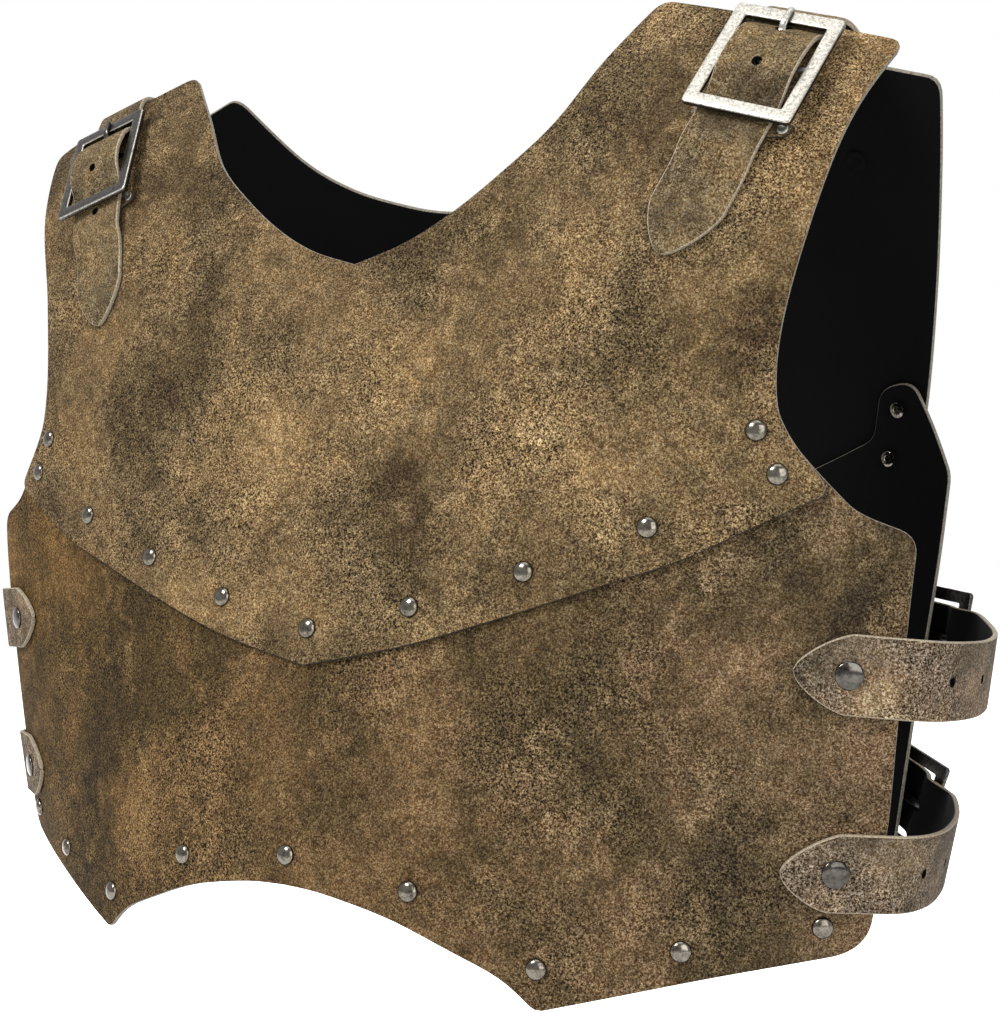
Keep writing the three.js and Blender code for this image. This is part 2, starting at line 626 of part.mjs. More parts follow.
function buildSide(row) {
  const across = new THREE.Vector3(row.lean, 0, 1).normalize();
  const { from, to, z, drop } = row.front;
  const zAt = (x) => z - (drop * (x - from)) / (to - from);
  const seat = buckleSeat('back', row.buckle, { x: 0, z: 1 }, 0);
  const onFront = [0, 0.22, 0.44, 0.62, 0.81, 1].map((t) => from + (to - from) * t).map((x) => (
    onPanel('front', x, zAt(x), across, STRAP.lift)));
  const tail = [];
  for (let distance = 58; distance <= SIDE_TAIL; distance += 8) {
    tail.push((w) => seat.over(w, -distance, STRAP.lift));
  }
  const stations = [
    ...onFront,
    ...row.free.map((point) => inAir(point, across)),
    (w) => seat.over(w, 30, STRAP.lift),
    ...overBuckle(seat, () => 0).reverse(),
    ...tail,
  ];
  let body = strapSolid(stations, -1);
  body = body.subtract(tongueSlot(seat));
  const place = { x: row.front.rivet, z: zAt(row.front.rivet) };
  body = body.subtract(rivetBore('front', place, STRAP_RIVET));
  addPair(`${row.name}_strap`, geometryOf(body), leather);
  addPair(`${row.name}_buckle`, buckleFrame(seat), silver);
  addPair(`${row.name}_tongue`, tongue(seat), silver);
  addPair(`${row.name}_chape`, chape(seat), darkLeather);
  const top = STRAP.lift + STRAP.thick;
  addPair(`${row.name}_rivet`, rivet('front', place, STRAP_RIVET, top, -PANEL_THICK), gunmetal);
  return place;
}

function addRivetRow(name, face, rows, style, top, bottom) {
  rows.forEach((place, i) => {
    const geometry = rivet(face, place, style, top, bottom);
    if (place.x === 0) {
      add(`${name}_${i}`, geometry, gunmetal());
    } else {
      addPair(`${name}_${i}`, geometry, gunmetal);
    }
  });
}

const shoulderRivets = SHOULDER_STRAPS.map(buildShoulder);
const sideRivets = SIDE_STRAPS.map(buildSide);
const sideBores = bothSides(sideRivets).map((place) => rivetBore('front', place, STRAP_RIVET));
const bores = (face, rivets) => bothSides(rivets).map((place) => rivetBore(face, place, PANEL_RIVET));
const shoulderBores = shoulderRivets.map((place) => rivetBore('back', place, STRAP_RIVET));

add('front_upper', panel('front', UPPER_LIFT, OUTLINES.frontUpper, bores('front', RIVETS.chest)), leather());
add('front_lower', panel('front', 0, OUTLINES.frontLower,
  [...bores('front', [...RIVETS.chest, ...RIVETS.hem]), ...sideBores]), leather());
add('back_upper', panel('back', UPPER_LIFT, OUTLINES.backUpper,
  [...bores('back', RIVETS.blade), ...shoulderBores]), leather());
add('back_lower', panel('back', 0, OUTLINES.backLower, bores('back', RIVETS.blade)), leather());

addRivetRow('chest_rivet', 'front', RIVETS.chest, PANEL_RIVET, UPPER_LIFT, -PANEL_THICK);
addRivetRow('hem_rivet', 'front', RIVETS.hem, PANEL_RIVET, 0, -PANEL_THICK);
addRivetRow('blade_rivet', 'back', RIVETS.blade, BLADE_RIVET, UPPER_LIFT, -PANEL_THICK);

export default armour;
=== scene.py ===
"""Leather chest armour: the looks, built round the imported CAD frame.

Lengths in the tables and in the shape code are millimetres; a mesh is brought to metres when it is
made. The front faces -Y, +X is the wearer's left, +Z is up.
"""
import logging
import math
from dataclasses import dataclass, field
from enum import Enum
from typing import Callable, Optional, Sequence

import bpy
import numpy as np
from mathutils import Euler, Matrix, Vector


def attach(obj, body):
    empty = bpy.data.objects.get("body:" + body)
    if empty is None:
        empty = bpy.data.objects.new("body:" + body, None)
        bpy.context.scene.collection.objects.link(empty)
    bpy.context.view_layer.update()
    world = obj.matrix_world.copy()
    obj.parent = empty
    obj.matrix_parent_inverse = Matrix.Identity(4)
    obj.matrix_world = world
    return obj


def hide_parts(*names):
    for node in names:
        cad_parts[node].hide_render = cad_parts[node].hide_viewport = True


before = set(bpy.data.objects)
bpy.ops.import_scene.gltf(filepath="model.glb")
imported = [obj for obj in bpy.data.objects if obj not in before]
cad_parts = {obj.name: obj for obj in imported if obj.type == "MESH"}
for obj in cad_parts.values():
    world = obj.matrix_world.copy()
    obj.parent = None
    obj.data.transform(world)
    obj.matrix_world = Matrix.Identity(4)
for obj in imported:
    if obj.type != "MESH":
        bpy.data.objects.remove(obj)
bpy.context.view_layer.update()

LOG = logging.getLogger("armour")
MM = 0.001
BODY = "root"

Array = np.ndarray
Surface = Callable[[Array, Array], Array]


class Face(Enum):
    """The half of the body form that a piece lies on, with the sense of its outward normal."""

    FRONT = -1.0
    BACK = 1.0


class Side(Enum):
    """The wearer's side, with the sign of its x."""

    LEFT = 1.0
    RIGHT = -1.0


# ---- sizes shared with the CAD model ------------------------------------------------------------

PANEL_THICK = 2.2
UPPER_LIFT = 2.5
STRAP_WIDE, STRAP_THICK, STRAP_LIFT, STRAP_TIP = 30.0, 2.0, 0.4, 20.0
STRAP_OVER_BUCKLE = np.array([
    (-51.0, 0.4), (-44.0, 1.2), (-38.5, 2.9), (-33.0, 3.0), (-27.0, 3.0), (-20.0, 3.0),
    (-13.5, 4.9), (-7.0, 8.0), (-3.0, 8.7), (2.0, 8.7), (8.0, 7.6), (12.8, 6.2), (16.5, 3.0),
    (19.6, 0.5), (25.0, 0.3)])


# ---- node and mesh helpers ----------------------------------------------------------------------

def linear(hex_colour: str) -> tuple[float, float, float, float]:
    """Turns an sRGB hex colour to linear light.

    Args:
        hex_colour: six hex digits after a #.

    Returns:
        Red, green, blue and alpha, for a node's colour socket.
    """
    parts = [int(hex_colour[i:i + 2], 16) / 255 for i in (1, 3, 5)]
    light = [c / 12.92 if c <= 0.04045 else ((c + 0.055) / 1.055) ** 2.4 for c in parts]
    return (light[0], light[1], light[2], 1.0)


def add_node(tree: bpy.types.NodeTree, kind: str, settings: Optional[dict] = None,
             links: Optional[dict] = None) -> bpy.types.Node:
    """Adds one node with its settings and links.

    Args:
        tree: the material's node tree.
        kind: the node's type name, without its ShaderNode prefix.
        settings: attribute or input names and their values; an input may be given by its number.
        links: input names or numbers, and the output socket that feeds each.

    Returns:
        The new node.
    """
    node = tree.nodes.new("ShaderNode" + kind)
    for name, value in (settings or {}).items():
        if isinstance(name, str) and hasattr(node, name):
            setattr(node, name, value)
        else:
            node.inputs[name].default_value = value
    for name, source in (links or {}).items():
        tree.links.new(source, node.inputs[name])
    return node


def fill_ramp(node: bpy.types.Node, stops: Sequence[tuple[float, str]]) -> bpy.types.Node:
    """Sets a colour ramp's stops.

    Args:
        node: the ColorRamp node.
        stops: place and sRGB hex colour of each stop, in order.

    Returns:
        The same node.
    """
    ramp = node.color_ramp
    while len(ramp.elements) < len(stops):
        ramp.elements.new(0.5)
    for element, (place, colour) in zip(ramp.elements, stops):
        element.position = place
        element.color = linear(colour)
    return node


@dataclass
class Shell:
    """A closed surface being built: points in millimetres, faces and each face's finish."""

    points: list[Array] = field(default_factory=list)
    faces: list[tuple[int, ...]] = field(default_factory=list)
    finishes: list[int] = field(default_factory=list)
    count: int = 0

    def add_points(self, points: Array) -> Array:
        """Adds points and returns their numbers, in the shape of the grid they came in."""
        flat = points.reshape(-1, 3)
        numbers = np.arange(self.count, self.count + len(flat)).reshape(points.shape[:-1])
        self.points.append(flat)
        self.count += len(flat)
        return numbers

    def add_faces(self, corners: Array, finish: int = 0) -> None:
        """Adds faces given as an array of rows of point numbers, all in one finish."""
        rows = corners.reshape(-1, corners.shape[-1])
        self.faces.extend(map(tuple, rows.tolist()))
        self.finishes.extend([finish] * len(rows))

    def add_quads(self, grid: Array, finish: int = 0, keep: Optional[Array] = None) -> None:
        """Adds the squares of a grid of point numbers.

        Args:
            grid: point numbers, rows by columns.
            finish: the squares' finish.
            keep: which squares are kept, all where it is left out.
        """
        quads = np.stack([grid[:-1, :-1], grid[:-1, 1:], grid[1:, 1:], grid[1:, :-1]], axis=-1)
        self.add_faces(quads if keep is None else quads[keep], finish)

    def turned_outwards(self) -> "Shell":
        """Turns every face round where the closed surface's signed volume is negative.

        The volume is the sum over the triangles (a, b, c) of a . (b x c) / 6.

        Returns:
            The same shell.
        """
        points = np.concatenate(self.points)
        triangles = np.array([(f[0], f[i], f[i + 1]) for f in self.faces for i in range(1, len(f) - 1)])
        a, b, c = (points[triangles[:, i]] for i in range(3))
        if np.einsum("ij,ij->i", a, np.cross(b, c)).sum() < 0:
            self.faces = [tuple(reversed(f)) for f in self.faces]
        return self

    def joined(self, other: "Shell") -> "Shell":
        """Adds another shell's points and faces to this one and returns this one."""
        self.faces.extend(tuple(i + self.count for i in f) for f in other.faces)
        self.finishes.extend(other.finishes)
        self.points.extend(other.points)
        self.count += other.count
        return self

    def mirrored(self) -> "Shell":
        """Returns this shell's mirror image across x = 0, with its faces still outwards."""
        points = np.concatenate(self.points) * (-1.0, 1.0, 1.0)
        return Shell([points], [tuple(reversed(f)) for f in self.faces], list(self.finishes), self.count)


def make_piece(name: str, shell: Shell, materials: Sequence[bpy.types.Material],
               nodes: Sequence[str] = (), sharp: float = 38.0) -> bpy.types.Object:
    """Makes a shell a Blender object that rides on the armour's one body.

    Args:
        name: the piece's name.
        shell: its surface.
        materials: the finishes that the shell's numbers name, in order.
        nodes: the CAD nodes that it stands for.
        sharp: the angle in degrees past which an edge is shaded as an edge.

    Returns:
        The new object.
    """
    mesh = bpy.data.meshes.new(name)
    mesh.from_pydata((np.concatenate(shell.points) * MM).tolist(), [], shell.faces)
    for material in materials:
        mesh.materials.append(material)
    mesh.polygons.foreach_set("material_index", np.array(shell.finishes, dtype=np.int32))
    mesh.shade_smooth()
    mesh.set_sharp_from_angle(angle=math.radians(sharp))
    mesh.update()
    piece = bpy.data.objects.new(name, mesh)
    bpy.context.scene.collection.objects.link(piece)
    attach(piece, BODY)
    if nodes:
        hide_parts(*nodes)
    LOG.info("%s: %d faces", name, len(shell.faces))
    return piece


# ---- finishes -----------------------------------------------------------------------------------

@dataclass(frozen=True)
class NubuckFinish:
    """Distressed faux nubuck: a brown polyurethane film, buffed and rubbed with two darker dyes.

    It gives the eye soft clouds some centimetres across, under a fine salt-and-pepper grain where
    the buffing has opened the film, with no shine to speak of.
    """

    name: str
    dark: str = "#2a2014"
    olive: str = "#39301f"
    middle: str = "#483d2a"
    warm: str = "#54462f"
    light: str = "#605239"
    cloud_mm: float = 62.0
    patch_mm: float = 21.0
    rub_mm: float = 5.5
    grain_mm: float = 0.85
    grain_depth: float = 0.95
    crackle_mm: float = 1.9
    offset: tuple[float, float, float] = (0.0, 0.0, 0.0)
    roughness: float = 0.8
    # The tint multiplied in towards the wearer's right, the far side: painted shade, darker and for the lower panels
    # also yellower.
    far_side_shade_tint: str = "#ffffff"

    def material(self) -> bpy.types.Material:
        """Builds the node tree: clouds, patches, dark and light grain, then the bump.

        Returns:
            The material.
        """
        material = bpy.data.materials.new(self.name)
        material.use_nodes = True
        tree = material.node_tree
        shader = tree.nodes["Principled BSDF"]
        place = add_node(tree, "TexCoord").outputs["Object"]
        moved = add_node(tree, "Mapping", {"Location": self.offset}, {"Vector": place}).outputs[0]

        def noise(size_mm: float, detail: float, rough: float, twist: float = 0.0) -> bpy.types.NodeSocket:
            """A noise with features of about a size in millimetres, from 0 to 1."""
            return add_node(tree, "TexNoise", {
                "Scale": 1000 / size_mm, "Detail": detail, "Roughness": rough, "Distortion": twist,
            }, {"Vector": moved}).outputs["Fac"]

        def span(value: bpy.types.NodeSocket, low: float, high: float, to_low: float = 0.0,
                 to_high: float = 1.0) -> bpy.types.NodeSocket:
            """The value stretched from low..high to to_low..to_high, and held there beyond."""
            return add_node(tree, "MapRange", {
                "From Min": low, "From Max": high, "To Min": to_low, "To Max": to_high,
            }, {"Value": value}).outputs[0]

        def mixed(kind: str, amount: bpy.types.NodeSocket | float, under: bpy.types.NodeSocket,
                  over: bpy.types.NodeSocket | str) -> bpy.types.NodeSocket:
            """One colour laid over another by an amount."""
            settings: dict = {"data_type": "RGBA", "blend_type": kind}
            links: dict = {6: under}
            for place_no, value in ((0, amount), (7, over)):
                if isinstance(value, bpy.types.NodeSocket):
                    links[place_no] = value
                else:
                    settings[place_no] = linear(value) if isinstance(value, str) else value
            return add_node(tree, "Mix", settings, links).outputs[2]

        clouds = noise(self.cloud_mm, 3.0, 0.62, 0.35)
        base = fill_ramp(add_node(tree, "ValToRGB", {}, {"Fac": clouds}), [
            (0.30, self.dark), (0.42, self.olive), (0.52, self.middle), (0.63, self.warm),
            (0.74, self.light)]).outputs[0]
        patches = noise(self.patch_mm, 4.0, 0.6, 0.6)
        colour = mixed("MIX", span(patches, 0.54, 0.72, 0.0, 0.55), base, self.light)
        colour = mixed("MIX", span(patches, 0.46, 0.30, 0.0, 0.6), colour, self.olive)
        rubbed = noise(self.rub_mm, 3.0, 0.65, 0.5)
        colour = mixed("MULTIPLY", 1.0, colour, span(rubbed, 0.3, 0.7, 0.62, 1.38))
        # The film's opened grain is about 0.5 mm across, drawn twice as coarse so that it shows.
        grain = noise(self.grain_mm, 2.0, 0.7, 0.7)
        opened = span(noise(self.cloud_mm * 0.8, 2.0, 0.5), 0.4, 0.6, self.grain_depth * 0.55, self.grain_depth)
        cracks = add_node(tree, "Math", {"operation": "MULTIPLY_ADD", 2: 1.0}, {
            0: span(grain, 0.41, 0.62, -1.0, 1.0), 1: opened}).outputs[0]
        colour = mixed("MULTIPLY", 1.0, colour, cracks)
        colour = mixed("MULTIPLY", 1.0, colour, span(noise(self.grain_mm * 0.75, 1.0, 0.5), 0.36, 0.64, 0.62, 1.6))
        # The film is warm deep in the grain and greyer where the buffing has dulled its top.
        tint = fill_ramp(add_node(tree, "ValToRGB", {}, {"Fac": grain}), [
            (0.4, "#ffe3bd"), (0.6, "#f0f4ff")]).outputs[0]
        colour = mixed("MULTIPLY", 1.0, colour, tint)
        # Painted shade on the far side: the tint, darker and on the lower panels also yellower, is full at the
        # wearer's right and fades out towards the left.
        across = add_node(tree, "SeparateXYZ", {}, {"Vector": place}).outputs[0]
        colour = mixed("MULTIPLY", span(across, -0.2, 0.2, 1.0, 0.0), colour, self.far_side_shade_tint)
        tree.links.new(colour, shader.inputs["Base Color"])

        crackle = add_node(tree, "TexVoronoi", {
            "feature": "DISTANCE_TO_EDGE", "Scale": 1000 / self.crackle_mm}, {"Vector": moved}).outputs[0]
        creased = add_node(tree, "Math", {"operation": "ADD"}, {
            0: span(crackle, 0.0, 0.18, 0.0, 0.6), 1: grain}).outputs[0]
        bump = add_node(tree, "Bump", {"Strength": 0.75, "Distance": 0.00026}, {"Height": creased})
        tree.links.new(bump.outputs[0], shader.inputs["Normal"])
        tree.links.new(span(grain, 0.3, 0.7, self.roughness + 0.1, self.roughness - 0.1),
                       shader.inputs["Roughness"])
        shader.inputs["IOR"].default_value = 1.47
        shader.inputs["Specular IOR Level"].default_value = 0.06
        return material


@dataclass(frozen=True)
class PlainFinish:
    """A dull, nearly even surface: the fibres of a cut edge, or a black fabric backing.

    A cut edge shows the grey-beige fibre board under the film, and the backing is a black
    non-woven that takes nearly all the light.
    """

    name: str
    colour: str
    fleck: str
    fibre_mm: float
    roughness: float
    specular: float
    bump_mm: float = 0.12

    def material(self) -> bpy.types.Material:
        """Builds the node tree: one fibre noise for the colour and the bump.

        Returns:
            The material.
        """
        material = bpy.data.materials.new(self.name)
        material.use_nodes = True
        tree = material.node_tree
        shader = tree.nodes["Principled BSDF"]
        place = add_node(tree, "TexCoord").outputs["Object"]
        fibre = add_node(tree, "TexNoise", {"Scale": 1000 / self.fibre_mm, "Detail": 3.0, "Roughness": 0.7},
                         {"Vector": place}).outputs["Fac"]
        shade = fill_ramp(add_node(tree, "ValToRGB", {}, {"Fac": fibre}),
                          [(0.35, self.fleck), (0.62, self.colour)]).outputs[0]
        bump = add_node(tree, "Bump", {"Strength": 0.5, "Distance": self.bump_mm * MM}, {"Height": fibre})
        tree.links.new(shade, shader.inputs["Base Color"])
        tree.links.new(bump.outputs[0], shader.inputs["Normal"])
        shader.inputs["Roughness"].default_value = self.roughness
        shader.inputs["Specular IOR Level"].default_value = self.specular
        return material


@dataclass(frozen=True)
class MetalFinish:
    """Cast or struck zinc and steel, plated, tumbled dark and rubbed bright on its high places."""

    name: str
    bright: str
    tarnish: str
    smooth: float
    rough: float
    grain_mm: float
    cover: tuple[float, float]

    def material(self) -> bpy.types.Material:
        """Builds the node tree: tarnish in patches and pits over the bright metal.

        Returns:
            The material.
        """
        material = bpy.data.materials.new(self.name)
        material.use_nodes = True
        tree = material.node_tree
        shader = tree.nodes["Principled BSDF"]
        place = add_node(tree, "TexCoord").outputs["Object"]
        pits = add_node(tree, "TexNoise", {"Scale": 1000 / self.grain_mm, "Detail": 4.0, "Roughness": 0.7,
                                           "Distortion": 0.4}, {"Vector": place}).outputs["Fac"]
        fine = add_node(tree, "TexNoise", {"Scale": 3400 / self.grain_mm, "Detail": 2.0},
                        {"Vector": place}).outputs["Fac"]
        both = add_node(tree, "Math", {"operation": "MULTIPLY_ADD", 1: 0.35}, {0: fine, 2: pits}).outputs[0]
        low, high = self.cover
        shade = fill_ramp(add_node(tree, "ValToRGB", {}, {"Fac": both}),
                          [(low, self.tarnish), (high, self.bright)]).outputs[0]
        gloss = add_node(tree, "MapRange", {"From Min": low, "From Max": high, "To Min": self.rough,
                                            "To Max": self.smooth}, {"Value": both}).outputs[0]
        bump = add_node(tree, "Bump", {"Strength": 0.4, "Distance": 0.00008}, {"Height": both})
        tree.links.new(shade, shader.inputs["Base Color"])
        tree.links.new(gloss, shader.inputs["Roughness"])
        tree.links.new(bump.outputs[0], shader.inputs["Normal"])
        shader.inputs["Metallic"].default_value = 1.0
        return material


@dataclass
class Finishes:
    """Every material of the armour, built once."""

    upper: bpy.types.Material = field(init=False)
    lower: bpy.types.Material = field(init=False)
    strap: bpy.types.Material = field(init=False)
    side_strap: bpy.types.Material = field(init=False)
    edge: bpy.types.Material = field(init=False)
    strap_edge: bpy.types.Material = field(init=False)
    dark_edge_and_shade: bpy.types.Material = field(init=False)
    backing: bpy.types.Material = field(init=False)
    silver: bpy.types.Material = field(init=False)
    dark_silver: bpy.types.Material = field(init=False)
    gunmetal: bpy.types.Material = field(init=False)
    stud: bpy.types.Material = field(init=False)

    def __post_init__(self) -> None:
        """Builds the materials from their finishes."""
        # Each leather's far-side tint is painted shade on the wearer's right.
        self.upper = NubuckFinish("nubuck_upper", offset=(0.31, 0.0, 0.12), far_side_shade_tint="#e7e5e2").material()
        self.lower = NubuckFinish(
            "nubuck_lower", dark="#1f1a13", olive="#2f281a", middle="#3c3223", warm="#463a2a",
            light="#564a37", cloud_mm=70.0, offset=(0.77, 0.2, 0.05), far_side_shade_tint="#f9e7b6", grain_depth=0.98).material()
        self.strap = NubuckFinish(
            "nubuck_strap", dark="#231e12", olive="#373023", middle="#443c2b", warm="#4b402c",
            light="#574c35", cloud_mm=38.0, offset=(0.13, 0.5, 0.4), grain_depth=0.7).material()
        self.side_strap = NubuckFinish(
            "nubuck_side_strap", dark="#262119", olive="#3c362b", middle="#494136", warm="#514537",
            light="#5d5340", cloud_mm=38.0, offset=(0.13, 0.5, 0.4), grain_depth=0.92).material()
        self.edge = PlainFinish("cut_edge", "#5f5a50", "#38342c", 0.8, 0.85, 0.3).material()
        self.strap_edge = PlainFinish("strap_edge", "#776d5d", "#4d4437", 0.8, 0.85, 0.3).material()
        self.backing = PlainFinish("black_backing", "#030303", "#010101", 0.7, 0.95, 0.06).material()
        self.silver = MetalFinish("antique_silver", "#8c8982", "#5a5750", 0.34, 0.5, 1.1,
                                  (0.52, 0.74)).material()
        # The silver darkened: painted shade and darker reflection, on the far shoulder buckle, the side buckles,
        # their tongues, and the sides and undersides of every frame.
        self.dark_silver = MetalFinish("dark_silver", "#4c4945", "#1a1816", 0.26, 0.45, 1.6,
                                       (0.5, 0.8)).material()
        # The rivets' metals are darker than the silver partly as painted reflection: their base colours stand in for
        # the dark surroundings that the domes mirror.
        self.gunmetal = MetalFinish("gunmetal", "#635e55", "#2b2824", 0.13, 0.27, 2.4,
                                    (0.45, 0.78)).material()
        self.stud = MetalFinish("gunmetal_stud", "#4a4743", "#252320", 0.08, 0.16, 4.0,
                                (0.45, 0.8)).material()
        # A near-black edge, partly the cut edge's own dark colour and partly painted shadow: on the upper panels' hem
        # rims and the shoulder chapes' edges it stands in for the shade that falls under them.
        self.dark_edge_and_shade = PlainFinish("burnished_edge", "#1c150d", "#0c0805", 0.8, 0.7, 0.2).material()


# ---- the body form ------------------------------------------------------------------------------

@dataclass(frozen=True)
class BodyForm:
    """The worn armour's form: depth as a function of x and height, on the front and on the back.

    At a height z the front's depth is front + front_round * u + front_tail * u * u and the back's is
    back - back_round * u, where u = (x / half) squared. The five columns are smooth curves in z.
    """

    half: float = 200.0
    heights: Array = field(default_factory=lambda: np.array(
        (-372.0, -322.0, -262.0, -202.0, -142.0, -92.0, -47.0, -12.0, 18.0)))
    front: Array = field(default_factory=lambda: np.array(
        (-112.5, -105.0, -93.5, -81.3, -68.5, -56.5, -41.5, -26.5, -12.0)))
    front_round: Array = field(default_factory=lambda: np.array(
        (66.0, 55.0, 39.0, 21.0, 5.0, -5.0, -12.0, -11.0, -8.0)))
    front_tail: Array = field(default_factory=lambda: np.array(
        (4.0, 3.0, 4.0, 9.0, 17.0, 21.0, 20.0, 22.0, 27.0)))
    back: Array = field(default_factory=lambda: np.array(
        (144.0, 149.0, 153.0, 154.0, 142.0, 109.0, 73.0, 45.0, 21.0)))
    back_round: Array = field(default_factory=lambda: np.array(
        (60.0, 56.0, 50.0, 44.0, 38.0, 31.0, 30.0, 29.0, 29.0)))
    ripple: float = 0.45

    def column(self, values: Array, z: Array) -> Array:
        """A column's value at heights z: a cubic Hermite curve, straight beyond its ends.

        Each inner row's slope is the mean of the two spans' slopes, each weighted by the other
        span's length.

        Args:
            values: the column's value in each row.
            z: heights.

        Returns:
            The values at z.
        """
        spans = np.diff(self.heights)
        slopes = np.diff(values) / spans
        inner = (slopes[:-1] * spans[1:] + slopes[1:] * spans[:-1]) / (spans[1:] + spans[:-1])
        tangents = np.concatenate([slopes[:1], inner, slopes[-1:]])
        inside = np.clip(z, self.heights[0], self.heights[-1])
        i = np.clip(np.searchsorted(self.heights, inside) - 1, 0, len(spans) - 1)
        t = (inside - self.heights[i]) / spans[i]
        curve = ((2 * t**3 - 3 * t**2 + 1) * values[i] + (t**3 - 2 * t**2 + t) * spans[i] * tangents[i]
                 + (3 * t**2 - 2 * t**3) * values[i + 1] + (t**3 - t**2) * spans[i] * tangents[i + 1])
        return curve + np.where(z < self.heights[0], tangents[0], tangents[-1]) * (z - inside)

    def depth(self, face: Face, x: Array, z: Array) -> Array:
        """The form's y at x and z, with a shallow hand-made waviness of two crossed sines.

        Args:
            face: front or back.
            x: distances from the centre line.
            z: heights.

        Returns:
            The depths.
        """
        u = (x / self.half) ** 2
        wave = self.ripple * (np.sin(x / 31.0 + z / 53.0 + face.value) * np.cos(z / 37.0 - x / 71.0))
        if face is Face.BACK:
            return self.column(self.back, z) - self.column(self.back_round, z) * u + wave
        return (self.column(self.front, z) + self.column(self.front_round, z) * u
                + self.column(self.front_tail, z) * u * u + wave)

    def slopes(self, face: Face, x: Array, z: Array) -> tuple[Array, Array]:
        """The depth's slopes along x and along z, from half a millimetre either side."""
        step = 0.5
        return (self.depth(face, x + step, z) - self.depth(face, x - step, z),
                self.depth(face, x, z + step) - self.depth(face, x, z - step))

    def outward(self, face: Face, x: Array, z: Array) -> Array:
        """The unit normal that points away from the body, (slope_x, -1, slope_z) on the front."""
        along_x, along_z = self.slopes(face, x, z)
        normal = np.stack([along_x, -np.ones_like(along_x), along_z], axis=-1)
        return -face.value * normal / np.linalg.norm(normal, axis=-1, keepdims=True)

    def point(self, face: Face, x: Array, z: Array, lift: Array | float) -> Array:
        """The points at x and z, lifted off the form along its outward normal.

        Args:
            face: front or back.
            x: distances from the centre line.
            z: heights.
            lift: distances off the form.

        Returns:
            Points, with x, y, z last.
        """
        x, z, lift = np.broadcast_arrays(np.asarray(x, float), np.asarray(z, float), lift)
        base = np.stack([x, self.depth(face, x, z), z], axis=-1)
        return base + self.outward(face, x, z) * lift[..., None]

    def tangent(self, face: Face, x: float, z: float, across: Sequence[float]) -> Array:
        """The unit vector along the surface over a direction given in x and z."""
        along_x, along_z = self.slopes(face, np.array(x), np.array(z))
        vector = np.array([across[0], along_x * across[0] + along_z * across[1], across[1]])
        return vector / np.linalg.norm(vector)


FORM = BodyForm()


# ---- panels -------------------------------------------------------------------------------------

def even_spline(rows: Array, step: float = 0.4) -> Array:
    """A Catmull-Rom curve through rows of (x, z), in steps of nearly equal length.

    Between rows b and c, with a before and d after, the point at t is
    b + t(c-a)/2 + t^2(a - 5b/2 + 2c - d/2) + t^3(3b/2 - a/2 - 3c/2 + d/2); an end row is repeated.

    Args:
        rows: the points that the curve passes.
        step: the length of a step.

    Returns:
        Points along the curve, its ends among them.
    """
    padded = np.concatenate([rows[:1], rows, rows[-1:]])
    t = np.linspace(0, 1, 64, endpoint=False)[None, :, None]
    a, b, c, d = (padded[i:i + len(rows) - 1, None, :] for i in range(4))
    curve = (b + t * (c - a) / 2 + t**2 * (a - 2.5 * b + 2 * c - 0.5 * d)
             + t**3 * (1.5 * b - 0.5 * a - 1.5 * c + 0.5 * d)).reshape(-1, 2)
    curve = np.concatenate([curve, rows[-1:]])
    return resampled(curve, max(2, int(lengths(curve)[-1] / step)))


def lengths(points: Array) -> Array:
    """The distance along a line of points, from its first to each."""
    return np.concatenate([[0.0], np.cumsum(np.linalg.norm(np.diff(points, axis=0), axis=1))])


def resampled(points: Array, parts: int) -> Array:
    """A line of points cut again into a number of equal parts."""
    run = lengths(points)
    stops = np.linspace(0, run[-1], parts + 1)
    return np.stack([np.interp(stops, run, points[:, i]) for i in range(points.shape[1])], axis=1)


@dataclass(frozen=True)
class Edge:
    """One edge of a pattern piece: the rows of (x, z) it passes, and how far its end is rounded."""

    corner: float
    rows: tuple[tuple[float, float], ...]


@dataclass(frozen=True)
class Pattern:
    """Half the outline of a panel, from the centre of its top edge to the centre of its hem.

    `top` is the number of edges that belong to the grid's top side, and `hem` the number that
    belong to its bottom side; the others are its right side.
    """

    edges: tuple[Edge, ...]
    top: int
    hem: int

    @staticmethod
    def cut(curve: Array, stops: Array) -> Array:
        """The points of a curve at distances along it."""
        run = lengths(curve)
        return np.stack([np.interp(stops, run, curve[:, i]) for i in range(2)], axis=1)

    def sides(self) -> tuple[Array, Array, Array]:
        """The half outline's three parts, with each corner turned on a quadratic Bezier curve.

        Returns:
            The top side from the centre, the right side downwards, and the hem to the centre.
        """
        curves = [even_spline(np.array(edge.rows)) for edge in self.edges]
        parts: list[Array] = []
        before = 0.0
        for i, (curve, edge) in enumerate(zip(curves, self.edges)):
            run = lengths(curve)
            keep = self.cut(curve, np.linspace(before, run[-1] - edge.corner, max(2, int(run[-1] / 0.4))))
            before = edge.corner
            if i + 1 < len(curves) and edge.corner > 0:
                after = self.cut(curves[i + 1], np.array([edge.corner]))
                t = np.linspace(0, 1, 16)[1:-1, None]
                turn = (1 - t)**2 * keep[-1] + 2 * t * (1 - t) * curve[-1] + t**2 * after
                keep = np.concatenate([keep, turn])
            parts.append(keep)
        split = len(parts) - self.hem
        top = np.concatenate(parts[:self.top])
        right = np.concatenate([top[-1:]] + parts[self.top:split])
        hem = np.concatenate([right[-1:]] + parts[split:])
        return top, right, hem


